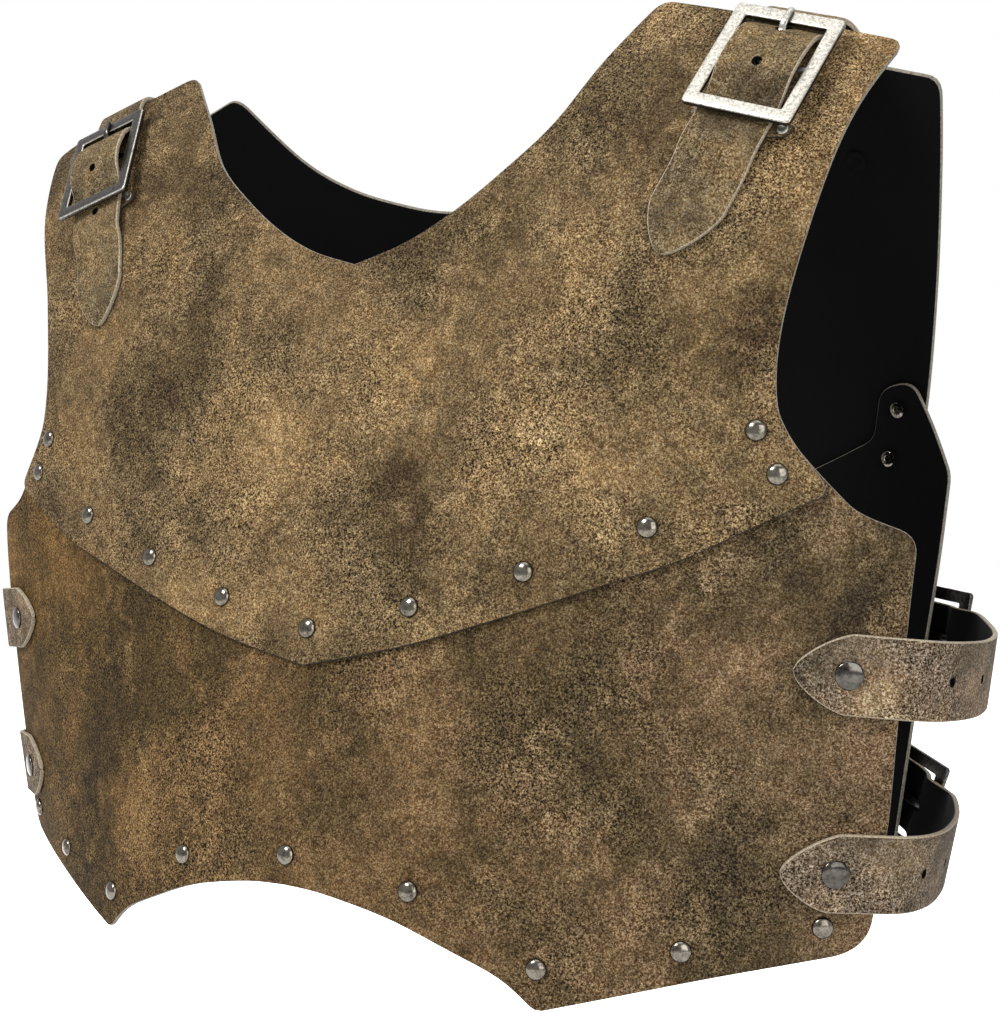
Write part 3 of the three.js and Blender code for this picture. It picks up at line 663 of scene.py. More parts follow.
def side_fill(bottom: Array, top: Array, left: Array, right: Array) -> Array:
    """A Coons patch: the grid between four sides that meet at its corners.

    At (s, t) it is the mix of bottom and top by t, plus the mix of left and right by s, less the
    mix of the four corners by both.

    Args:
        bottom: points from left to right.
        top: points from left to right.
        left: points from bottom to top.
        right: points from bottom to top.

    Returns:
        Points, rows upwards by columns to the right.
    """
    s = np.linspace(0, 1, len(bottom))[None, :, None]
    t = np.linspace(0, 1, len(left))[:, None, None]
    ruled = (1 - t) * bottom[None] + t * top[None] + (1 - s) * left[:, None] + s * right[:, None]
    corners = ((1 - t) * ((1 - s) * bottom[0] + s * bottom[-1])
               + t * ((1 - s) * top[0] + s * top[-1]))
    return ruled - corners


def settled(grid: Array, turns: int) -> Array:
    """Moves a grid's inner points until its lines cross evenly and no square is folded.

    Each turn is one step of Winslow's rule: a point becomes the mean of its neighbours along each
    grid direction, weighted by the squared spacing of the other direction, less the twist.

    Args:
        grid: points, rows by columns, whose border stays.
        turns: the number of steps.

    Returns:
        The settled grid.
    """
    for _ in range(turns):
        along = (grid[1:-1, 2:] - grid[1:-1, :-2]) / 2
        up = (grid[2:, 1:-1] - grid[:-2, 1:-1]) / 2
        a = (up**2).sum(-1, keepdims=True) + 1e-9
        b = (along * up).sum(-1, keepdims=True)
        c = (along**2).sum(-1, keepdims=True) + 1e-9
        twist = (grid[2:, 2:] - grid[2:, :-2] - grid[:-2, 2:] + grid[:-2, :-2]) / 2
        inner = (a * (grid[1:-1, 2:] + grid[1:-1, :-2]) + c * (grid[2:, 1:-1] + grid[:-2, 1:-1])
                 - b * twist) / (2 * (a + c))
        grid = grid.copy()
        grid[1:-1, 1:-1] += 0.9 * (inner - grid[1:-1, 1:-1])
    return grid


def finer(grid: Array) -> Array:
    """Puts a point halfway between each two neighbours of a grid, in both directions."""
    rows = np.empty((grid.shape[0] * 2 - 1, grid.shape[1], grid.shape[2]))
    rows[::2], rows[1::2] = grid, (grid[1:] + grid[:-1]) / 2
    full = np.empty((rows.shape[0], grid.shape[1] * 2 - 1, grid.shape[2]))
    full[:, ::2], full[:, 1::2] = rows, (rows[:, 1:] + rows[:, :-1]) / 2
    return full


@dataclass
class Panel:
    """One leather panel: a patterned sheet bent over the form, with a rounded cut edge."""

    name: str
    face: Face
    lift: float
    pattern: Pattern
    columns: int = 176
    rows: int = 112
    rounding: float = 0.55
    dents: tuple[tuple[float, float], ...] = ()
    hem_finish: int = 1

    def border(self) -> Array:
        """The whole outline in (x, z), anticlockwise from the bottom left corner of the grid.

        Returns:
            Points, as many as the grid has on its border.
        """
        top, right, hem = self.pattern.sides()
        mirror = np.array((-1.0, 1.0))
        bottom = np.concatenate([hem * mirror, hem[::-1][1:]])
        whole_top = np.concatenate([top[::-1], (top * mirror)[1:]])
        left = right * mirror
        parts = [resampled(bottom, self.columns)[:-1], resampled(right[::-1], self.rows)[:-1],
                 resampled(whole_top, self.columns)[:-1], resampled(left, self.rows)[:-1]]
        return np.concatenate(parts)

    def inset(self, border: Array, distance: Array | float) -> Array:
        """The border moved inwards, square to itself."""
        along = np.roll(border, -1, axis=0) - np.roll(border, 1, axis=0)
        inwards = np.stack([-along[:, 1], along[:, 0]], axis=1)
        inwards /= np.linalg.norm(inwards, axis=1, keepdims=True)
        return border + inwards * distance

    def grid(self, border: Array) -> Array:
        """Fills a border with a settled grid, from coarse to fine.

        Args:
            border: the border's points in (x, z).

        Returns:
            Points in (x, z), rows upwards by columns to the right.
        """
        n, m = self.columns, self.rows
        closed = np.concatenate([border, border[:1]])
        whole = (closed[:n + 1], closed[n:n + m + 1], closed[n + m:2 * n + m + 1][::-1],
                 closed[2 * n + m:][::-1])
        fill: Optional[Array] = None
        for level, turns in ((8, 900), (4, 400), (2, 150), (1, 60)):
            bottom, right, top, left = (side[::level] for side in whole)
            if fill is None:
                fill = side_fill(bottom, top, left, right)
            else:
                fill = finer(fill)
                fill = fill + side_fill(bottom - fill[0], top - fill[-1], left - fill[:, 0],
                                        right - fill[:, -1])
            fill = settled(fill, turns)
        return fill

    def sink(self, places: Array) -> Array:
        """How far the rivets pull the outer skin in: a bell 6 mm wide and 0.28 mm deep at each."""
        depth = np.zeros(places.shape[:-1])
        for x, z in self.dents:
            away = ((places[..., 0] - x) ** 2 + (places[..., 1] - z) ** 2) / 6.0**2
            depth += RIVET_DENT * np.exp(-away)
        return depth

    def shell(self) -> Shell:
        """Two skins over the settled grid, and a rounded rim carried round the border.

        The rim's profile goes from the outer skin's border, one rounding in from the edge, round to
        the edge, down it, and round to the inner skin.

        Returns:
            The closed surface: leather outside, cut edge, backing inside.
        """
        border = self.border()
        inner = self.grid(self.inset(border, self.rounding))
        shell = Shell()
        outer = shell.add_points(FORM.point(self.face, inner[..., 0], inner[..., 1],
                                            self.lift - self.sink(inner)))
        under = shell.add_points(FORM.point(self.face, inner[..., 0], inner[..., 1],
                                            self.lift - PANEL_THICK))
        shell.add_quads(outer, 0)
        shell.add_quads(under[:, ::-1], 2)
        angle = np.radians((30.0, 60.0, 90.0))
        r = self.rounding
        insets = np.concatenate([r - r * np.sin(angle), (r - r * np.sin(angle))[::-1]])
        depths = np.concatenate([r - r * np.cos(angle), (PANEL_THICK - r + r * np.cos(angle))[::-1]])
        rings = [shell.add_points(FORM.point(self.face, *self.inset(border, i).T, self.lift - d))
                 for i, d in zip(insets, depths)]
        loop = [np.concatenate([g[0, :-1], g[:-1, -1], g[-1, :0:-1], g[:0:-1, 0]]) for g in (outer, under)]
        rows = np.stack([loop[0], *rings, loop[1]])
        rim = np.concatenate([rows, rows[:, :1]], axis=1)
        shell.add_quads(rim[:2, ::-1], 0)
        # The hem's rim takes hem_finish; on the upper panels that is the near-black edge, partly painted shadow under
        # the lap.
        shell.add_quads(rim[1:-1, self.columns::-1], self.hem_finish)
        shell.add_quads(rim[1:-1, :self.columns - 1:-1], 1)
        shell.add_quads(rim[-2:, ::-1], 2)
        return shell.turned_outwards()

    def area(self) -> float:
        """The outer skin's area in square metres, from its grid's triangles."""
        grid = self.grid(self.inset(self.border(), 0.0))
        points = FORM.point(self.face, grid[..., 0], grid[..., 1], self.lift)
        a, b = points[1:, 1:] - points[:-1, :-1], points[1:, :-1] - points[:-1, 1:]
        return float(np.linalg.norm(np.cross(a, b), axis=-1).sum()) / 2 * MM * MM


# ---- rivets -------------------------------------------------------------------------------------

RIVET_DENT = 0.28


def lathe(profile: Array, bands_in_shade: int = 0, segments: int = 28) -> Shell:
    """A profile of (radius, height) turned about the height axis, its first and last row poles.

    The point at angle a is (radius cos a, radius sin a, height).

    Args:
        profile: rows of radius and height, the end rows on the axis.
        bands_in_shade: how many bands from the first pole have the second finish.
        segments: the number of steps round.

    Returns:
        The closed surface, its axis along z.
    """
    angle = np.linspace(0, 2 * np.pi, segments, endpoint=False)
    radius, height = profile[1:-1, 0, None], profile[1:-1, 1, None]
    rings = np.stack([radius * np.cos(angle), radius * np.sin(angle), height + 0 * angle], axis=-1)
    shell = Shell()
    numbers = shell.add_points(rings)
    poles = shell.add_points(np.array([(0.0, 0.0, profile[0, 1]), (0.0, 0.0, profile[-1, 1])]))
    closed = np.concatenate([numbers, numbers[:, :1]], axis=1)
    # The first bands take the second finish; on a strap rivet's back that is the black backing, painted shade inside
    # the armour.
    shell.add_quads(closed[:bands_in_shade + 1], 1)
    shell.add_quads(closed[bands_in_shade:], 0)
    for pole, ring, finish in ((poles[0], closed[0, ::-1], min(bands_in_shade, 1)), (poles[1], closed[-1], 0)):
        fan = np.stack([np.full(segments, pole), ring[:-1], ring[1:]], axis=-1)
        shell.add_faces(fan, finish)
    return shell.turned_outwards()


@dataclass(frozen=True)
class RivetStyle:
    """A two-part rivet: a domed cap outside, a post, and a flat round back inside."""

    cap: float
    dome: float
    back: float
    post: float
    seat: float
    back_seat: float
    roll: float = 0.35
    # Bands of the back that take the black backing instead of metal: painted shade inside the armour.
    painted_shade_bands: int = 0

    def shell(self, face: Face, x: float, z: float, top: float, bottom: float, sunk: float = 0.0) -> Shell:
        """The rivet set through a panel at (x, z).

        The cap's section is a quarter ellipse over a low rolled rim, and the back is a disc with a
        shallow ring pressed round its middle.

        Args:
            face: the side of the form it stands on.
            x: distance from the centre line.
            z: height.
            top: the outer skin's lift where the cap sits.
            bottom: the inner skin's lift where the back sits.
            sunk: how far the leather is pulled in under the cap.

        Returns:
            The closed surface.
        """
        seat = top + self.seat - sunk
        under = bottom - self.back_seat
        angle = np.linspace(0, np.pi / 2, 9)
        cap = np.stack([self.cap * np.cos(angle),
                        seat + self.roll + (self.dome - self.roll) * np.sin(angle)], axis=1)
        profile = np.concatenate([np.array([
            (0.0, under - 0.5), (self.back * 0.42, under - 0.5), (self.back * 0.5, under - 0.8),
            (self.back * 0.92, under - 0.8), (self.back, under - 0.6), (self.back, under - 0.1),
            (self.back * 0.95, under), (self.post, under), (self.post, seat),
            (self.cap * 0.93, seat), (self.cap, seat + 0.12)]), cap[:-1], [(0.0, cap[-1, 1])]])
        turned = lathe(profile, self.painted_shade_bands)
        up = FORM.outward(face, np.array(x), np.array(z))
        side = np.cross((0.0, 0.0, 1.0), up)
        side /= np.linalg.norm(side)
        axes = np.stack([side, np.cross(up, side), up])
        base = FORM.point(face, np.array(x), np.array(z), 0.0)
        turned.points = [points @ axes + base for points in turned.points]
        return turned


PANEL_RIVET = RivetStyle(cap=4.1, dome=2.4, back=3.6, post=1.2, seat=0.12, back_seat=0.8)
BLADE_RIVET = RivetStyle(cap=4.1, dome=2.4, back=3.6, post=1.2, seat=0.12, back_seat=1.4)
STRAP_RIVET = RivetStyle(cap=5.3, dome=1.6, back=4.2, post=1.5, seat=0.25, back_seat=0.8, roll=0.5,
                         painted_shade_bands=6)
TAB_RIVET = RivetStyle(cap=2.4, dome=1.1, back=2.2, post=0.9, seat=0.02, back_seat=0.1)


@dataclass(frozen=True)
class RivetRow:
    """A row of rivets of one kind, given on the wearer's left and on the centre line."""

    name: str
    face: Face
    style: RivetStyle
    top: float
    places: tuple[tuple[float, float], ...]
    in_cad: bool = True

    def build(self, finishes: Finishes) -> None:
        """Makes the row's rivets on both sides.

        Args:
            finishes: the armour's materials.
        """
        for i, (x, z) in enumerate(self.places):
            shell = self.style.shell(self.face, x, z, self.top, -PANEL_THICK, RIVET_DENT)
            pieces = {"": shell} if x == 0 else {
                "_left": shell, "_right": self.style.shell(self.face, -x, z, self.top, -PANEL_THICK,
                                                           RIVET_DENT)}
            for side, built in pieces.items():
                node = f"{self.name}_{i}{side}"
                make_piece(f"{node}_stud", built, [finishes.gunmetal],
                           [node] if self.in_cad else [])

    def both_sides(self) -> tuple[tuple[float, float], ...]:
        """The places of all the row's rivets."""
        return tuple((s * x, z) for x, z in self.places for s in ((1, -1) if x else (1,)))


# ---- straps -------------------------------------------------------------------------------------

def through(stations: Array, t: Array) -> Array:
    """A centripetal Catmull-Rom curve through stations, at t from 0 to 1.

    The knots are spaced by the square root of the distance between stations, and each end has one
    more station the same distance beyond it.

    Args:
        stations: points, one a row.
        t: places along the curve, each span an equal share.

    Returns:
        The points.
    """
    padded = np.concatenate([2 * stations[:1] - stations[1:2], stations,
                             2 * stations[-1:] - stations[-2:-1]])
    share = np.clip(t, 0, 1) * (len(stations) - 1)
    i = np.minimum(share.astype(int), len(stations) - 2)
    w = (share - i)[..., None]
    a, b, c, d = (padded[i + k] for k in range(4))
    first, second, third = (np.sqrt(np.linalg.norm(q - p, axis=-1))[..., None]
                            for p, q in ((a, b), (b, c), (c, d)))
    start = ((b - a) / first - (c - a) / (first + second) + (c - b) / second) * second
    end = ((c - b) / second - (d - b) / (second + third) + (d - c) / third) * second
    return b + w * start + w**2 * (3 * (c - b) - 2 * start - end) + w**3 * (2 * (b - c) + start + end)


@dataclass(frozen=True)
class Hole:
    """A punched hole in a ribbon: where it is along and across, and its half sizes."""

    along: float
    across: float = 0.0
    half_long: float = 1.65
    half_wide: float = 1.65
    block: float = 3.6


@dataclass
class Ribbon:
    """A band of leather carried along stations, with rounded edges and punched holes.

    `left`, `middle` and `right` are the stations under its two edges and its centre line. The skin
    between them is a parabola across, and the thickness stands on it along its normal.
    """

    left: Array
    middle: Array
    right: Array
    wide: float
    thick: float
    outside: float
    pointed: tuple[bool, bool] = (False, False)
    holes: tuple[Hole, ...] = ()
    rounding: float = 0.5
    step: float = 2.2
    cells: int = 12
    flare: tuple[float, float] = (0.0, 0.0)

    def __post_init__(self) -> None:
        """Measures the centre line, so that places on the ribbon are distances along it."""
        self.t = np.linspace(0, 1, 60 * (len(self.middle) - 1) + 1)
        self.run = lengths(through(self.middle, self.t))
        self.length = float(self.run[-1])

    def skin(self, along: Array, across: Array) -> Array:
        """The ribbon's inner skin at distances along and across from its centre line.

        Args:
            along: distances from the first station.
            across: distances from the centre line.

        Returns:
            The points.
        """
        t = np.interp(along, self.run, self.t)
        k = (across / (self.wide / 2))[..., None]
        left, middle, right = (through(line, t) for line in (self.left, self.middle, self.right))
        return middle + (right - left) * k / 2 + (left + right - 2 * middle) * k * k / 2

    def point(self, along: Array, across: Array, height: Array | float) -> Array:
        """The points at a height over the skin, along the normal of its two directions.

        Args:
            along: distances from the first station.
            across: distances from the centre line.
            height: heights over the inner skin.

        Returns:
            The points.
        """
        along, across, height = np.broadcast_arrays(along, across, height)
        forward = self.skin(along + 0.5, across) - self.skin(along - 0.5, across)
        sideways = self.skin(along, across + 0.7) - self.skin(along, across - 0.7)
        normal = np.cross(sideways, forward)
        normal /= np.linalg.norm(normal, axis=-1, keepdims=True)
        return self.skin(along, across) + normal * (height * self.outside)[..., None]

    def half_width(self, along: Array) -> Array:
        """Half the width at each distance: full, or narrowed to a blunt gothic point at an end.

        From the tip the share of the width is 0.05 + 0.95 (sin(1.15 d / 20) / sin 1.15)^0.7, and
        the last millimetre and a half is rounded off as a quarter circle.
        """
        share = np.ones_like(along)
        for flag, away in zip(self.pointed, (along, self.length - along)):
            if flag:
                d = np.clip(away, 0, STRAP_TIP)
                arch = 0.05 + 0.95 * (np.sin(1.15 * d / STRAP_TIP) / math.sin(1.15)) ** 0.7
                nose = np.sqrt(1 - (1 - np.clip(d / 1.5, 0.02, 1)) ** 2)
                share = np.minimum(share, arch * nose)
        extra, reach = self.flare
        if reach:
            share = share + (extra / (self.wide / 2) * np.clip((reach - along) / 1.5, 0, 1)
                             * np.clip((along - 6.0) / 1.5, 0, 1))
        return self.wide / 2 * share

    def stops(self) -> Array:
        """The distances at which the ribbon has a row: even steps, with rows at holes and tips.

        Returns:
            The distances, in order.
        """
        fixed = {0.0, self.length}
        for flag, place in zip(self.pointed, (lambda d: d, lambda d: self.length - d)):
            if flag:
                fixed |= {place(d) for d in (0.15, 0.5, 1.0, 1.6, 2.6, 4.0, 6.0, 8.5, 11.5, 15.0, STRAP_TIP)}
        for hole in self.holes:
            reach = hole.half_long + hole.block - 1.65
            fixed = {f for f in fixed if abs(f - hole.along) > reach or f in (0.0, self.length)}
            fixed |= {hole.along - reach, hole.along + reach}
        marks = sorted(fixed)
        spans = [np.linspace(a, b, 5 if self.is_block(a, b) else max(1, math.ceil((b - a) / self.step)) + 1)[:-1]
                 for a, b in zip(marks, marks[1:])]
        return np.concatenate([*spans, [self.length]])

    def is_block(self, start: float, end: float) -> bool:
        """Whether the stretch from start to end is the one that a hole is cut in."""
        return any(abs((start + end) / 2 - hole.along) < 1e-6 for hole in self.holes)

    def section(self) -> tuple[Array, Array, Array, Array]:
        """The rounded section as a loop: outer flat, right edge, inner flat, left edge.

        A point lies share * (half width - rounding) + extra from the centre line.

        Returns:
            Shares, extras, heights, and the finish of the face from each point to the next.
        """
        r, t = self.rounding, self.thick
        flat = np.linspace(-1, 1, self.cells + 1)
        arc = np.radians((60.0, 30.0, 0.0))
        bend = np.concatenate([r * np.cos(arc), r * np.cos(arc)[::-1]])
        rise = np.concatenate([t - r + r * np.sin(arc), (r - r * np.sin(arc))[::-1]])
        shares = np.concatenate([flat, np.ones(6), flat[::-1], -np.ones(6)])
        extras = np.concatenate([0 * flat, bend, 0 * flat, -bend])
        heights = np.concatenate([0 * flat + t, rise, 0 * flat, rise[::-1]])
        finish = np.concatenate([np.zeros(self.cells), np.ones(7), 2 + np.zeros(self.cells), np.ones(7)])
        return shares, extras, heights, finish.astype(int)

    def shell(self) -> Shell:
        """Carries the section along the stops, closes both ends and punches the holes.

        Returns:
            The closed surface: leather outside, cut edge, backing inside.
        """
        stops = self.stops()
        shares, extras, heights, finish = self.section()
        half = self.half_width(stops)
        room = np.maximum(half - self.rounding, half * 0.3)
        squeeze = np.minimum(1.0, half / (self.rounding * 2))
        across = room[:, None] * shares + (half - room)[:, None] / self.rounding * extras
        if self.flare[1]:
            across = np.clip(across, -half[:, None], half[:, None])
        middle = self.thick / 2
        high = middle + (heights - middle) * squeeze[:, None]
        shell = Shell()
        grid = shell.add_points(self.point(stops[:, None] + 0 * across, across, high))
        keep = np.ones((len(stops) - 1, len(shares)), bool)
        width = self.cells + 1
        patches = []
        for hole in self.holes:
            reach = hole.half_long + hole.block - 1.65
            first = int(np.argmin(abs(stops - (hole.along - reach))))
            centre = self.cells // 2 + int(round(hole.across / (room[first] * 2 / self.cells)))
            low, high_column = centre - 2, centre + 2
            under = width + 6
            keep[first:first + 4, low:high_column] = False
            keep[first:first + 4, under + self.cells - high_column:under + self.cells - low] = False
            patches.append((hole, first, low, high_column, under))
        loop = np.concatenate([grid, grid[:, :1]], axis=1)
        for value in range(3):
            shell.add_quads(loop, value, keep & (finish == value)[None])
        for row in (0, -1):
            shell.add_faces(grid[row][None, ::(1 if row else -1)], 1)
        for hole, first, low, high_column, under in patches:
            self.punch(shell, grid, stops, across, hole, first, low, high_column, under)
        return shell.turned_outwards()

    def punch(self, shell: Shell, grid: Array, stops: Array, across: Array, hole: Hole, first: int,
              low: int, high: int, under: int) -> None:
        """Fills a square block with a ring round a hole, and gives the hole its wall.

        Each border point of the block is joined to the hole's rim in its own direction. The rim of
        a long hole is two half circles joined by straights.

        Args:
            shell: the ribbon's surface.
            grid: the ribbon's point numbers.
            stops: the rows' distances.
            across: each point's distance across.
            hole: the hole.
            first: the block's first row.
            low: the block's first column.
            high: the block's last column.
            under: the loop place where the inner flat starts.
        """
        rows = np.array([0] * 4 + [0, 1, 2, 3] + [4] * 4 + [4, 3, 2, 1]) + first
        columns = np.array([0, 1, 2, 3] + [4] * 4 + [4, 3, 2, 1] + [0] * 4) + low
        du = across[rows, columns] - hole.across
        ds = stops[rows] - hole.along
        straight = hole.half_long - hole.half_wide
        centre = np.clip(ds, -straight, straight) if straight > 0 else np.zeros_like(ds)
        away = np.hypot(du, ds - centre)
        rims = []
        bevel = min(0.3, self.thick / 4)
        for radius, height in ((hole.half_wide + bevel, self.thick), (hole.half_wide, self.thick - bevel),
                               (hole.half_wide, bevel), (hole.half_wide + bevel, 0.0)):
            rim_across = hole.across + du / away * radius
            rim_along = hole.along + centre + (ds - centre) / away * radius
            rims.append(shell.add_points(self.point(rim_along, rim_across, height)))
        outer = grid[rows, columns]
        inner = grid[rows, under + self.cells - columns]
        rings = np.stack([outer, *rims, inner])
        closed = np.concatenate([rings, rings[:, :1]], axis=1)
        # The hole's top bevel, wall, lower bevel and inner rim take the ribbon's third finish, on a strap the black
        # backing: painted shade inside the hole.
        for i, value in enumerate((0, 2, 2, 2, 2)):
            shell.add_quads(closed[i:i + 2, ::-1], value)

    def area(self) -> float:
        """The inner skin's area in square metres: the width at each stop times the step."""
        stops = np.linspace(0, self.length, 400)
        width = 2 * self.half_width(stops)
        edges = [self.skin(stops, half) for half in (-width / 2, 0 * width, width / 2)]
        wide = sum(np.linalg.norm(b - a, axis=1) for a, b in zip(edges, edges[1:]))
        steps = np.mean([np.linalg.norm(np.diff(e, axis=0), axis=1) for e in edges], axis=0)
        return float((steps * (wide[1:] + wide[:-1]) / 2).sum()) * MM * MM


# ---- buckles ------------------------------------------------------------------------------------

@dataclass(frozen=True)
class BuckleSeat:
    """A buckle's place: u along its bars, v towards the strap's fixed end, h off the panel."""

    face: Face
    x: float
    z: float
    along: tuple[float, float]
    across: tuple[float, float]
    skin_lift: float
    height: float = 4.1
    tilt: float = 0.052

    def axes(self) -> tuple[Array, Array, Array]:
        """The unit vectors u, v and h at the buckle's middle."""
        v = FORM.tangent(self.face, self.x, self.z, self.along)
        u = FORM.tangent(self.face, self.x, self.z, self.across)
        u = u - v * (u @ v)
        return u / np.linalg.norm(u), v, FORM.outward(self.face, np.array(self.x), np.array(self.z))

    def over(self, du: Array, dv: Array, height: Array | float) -> Array:
        """Points at distances along the panel from the middle, at a height over its skin."""
        u, v, _ = self.axes()
        du, dv = np.asarray(du, float), np.asarray(dv, float)
        return FORM.point(self.face, self.x + u[0] * du + v[0] * dv, self.z + u[2] * du + v[2] * dv,
                          self.skin_lift + np.asarray(height, float))

    def rigid(self, local: Array) -> Array:
        """Points given as (u, v, h) on the tilted frame, whose tail end stands a little higher."""
        u, v, h = self.axes()
        c, s = math.cos(self.tilt), math.sin(self.tilt)
        base = FORM.point(self.face, np.array(self.x), np.array(self.z), self.skin_lift) + h * self.height
        return base + local @ np.stack([u, v * c - h * s, h * c + v * s])


def swept_ring(profile: Array, half_x: float, half_y: float, radius: float,
               finishes: Sequence[int], steps: int = 5) -> Shell:
    """A profile carried round a rectangle with small round corners.

    A profile point d outside the path lies on a rectangle d larger, with a corner radius larger by
    a fifth of d.

    Args:
        profile: rows of distance outside the path and height, as a closed loop.
        half_x: half the path's width.
        half_y: half the path's length.
        radius: the path's corner radius.
        finishes: the finish of the face from each profile point to the next.
        steps: points in each corner.

    Returns:
        The closed surface, in (u, v, h).
    """
    turn = np.linspace(0, np.pi / 2, steps)
    angle = np.concatenate([turn + i * np.pi / 2 for i in range(4)])
    corner = np.repeat(np.array([(1, 1), (-1, 1), (-1, -1), (1, -1)], float), steps, axis=0)
    d, h = profile[:, 0, None], profile[:, 1, None]
    r = radius + 0.2 * d
    x = corner[:, 0] * (half_x + d - r) + r * np.cos(angle)
    y = corner[:, 1] * (half_y + d - r) + r * np.sin(angle)
    shell = Shell()
    grid = shell.add_points(np.stack([x, y, h + 0 * x], axis=-1))
    wrapped = np.concatenate([grid, grid[:1]])
    closed = np.concatenate([wrapped, wrapped[:, :1]], axis=1)
    for i, finish in enumerate(finishes):
        shell.add_quads(closed[i:i + 2], finish)
    return shell.turned_outwards()


def swept_bar(path: Array, widths: Array, thicks: Array, side: Array, points: int = 16,
              power: float = 4.0) -> Shell:
    """A rounded bar carried along a path, with rounded ends closed at a pole.

    Its section is the superellipse |a|^power + |b|^power = 1, as wide along `side` and as thick
    across it as the path's own numbers say.

    Args:
        path: the centre line.
        widths: the whole width at each point.
        thicks: the whole thickness at each point.
        side: the unit vector of the width.
        points: points round the section.
        power: the superellipse's power, 2 for round.

    Returns:
        The closed surface.
    """
    angle = np.linspace(0, 2 * np.pi, points, endpoint=False) + np.pi / points
    scale = (np.abs(np.cos(angle))**power + np.abs(np.sin(angle))**power) ** (-1 / power)
    a, b = np.cos(angle) * scale, np.sin(angle) * scale
    ahead = np.gradient(path, axis=0)
    ahead /= np.linalg.norm(ahead, axis=1, keepdims=True)
    lift = np.cross(ahead, side)
    grid = (path[:, None] + side * (widths[:, None] / 2 * a)[..., None]
            + lift[:, None] * (thicks[:, None] / 2 * b)[..., None])
    shell = Shell()
    numbers = shell.add_points(grid)
    closed = np.concatenate([numbers, numbers[:, :1]], axis=1)
    shell.add_quads(closed)
    ends = shell.add_points(np.stack([path[0], path[-1]]))
    for pole, ring in ((ends[0], closed[0, ::-1]), (ends[1], closed[-1])):
        shell.add_faces(np.stack([np.full(points, pole), ring[:-1], ring[1:]], axis=-1))
    return shell.turned_outwards()


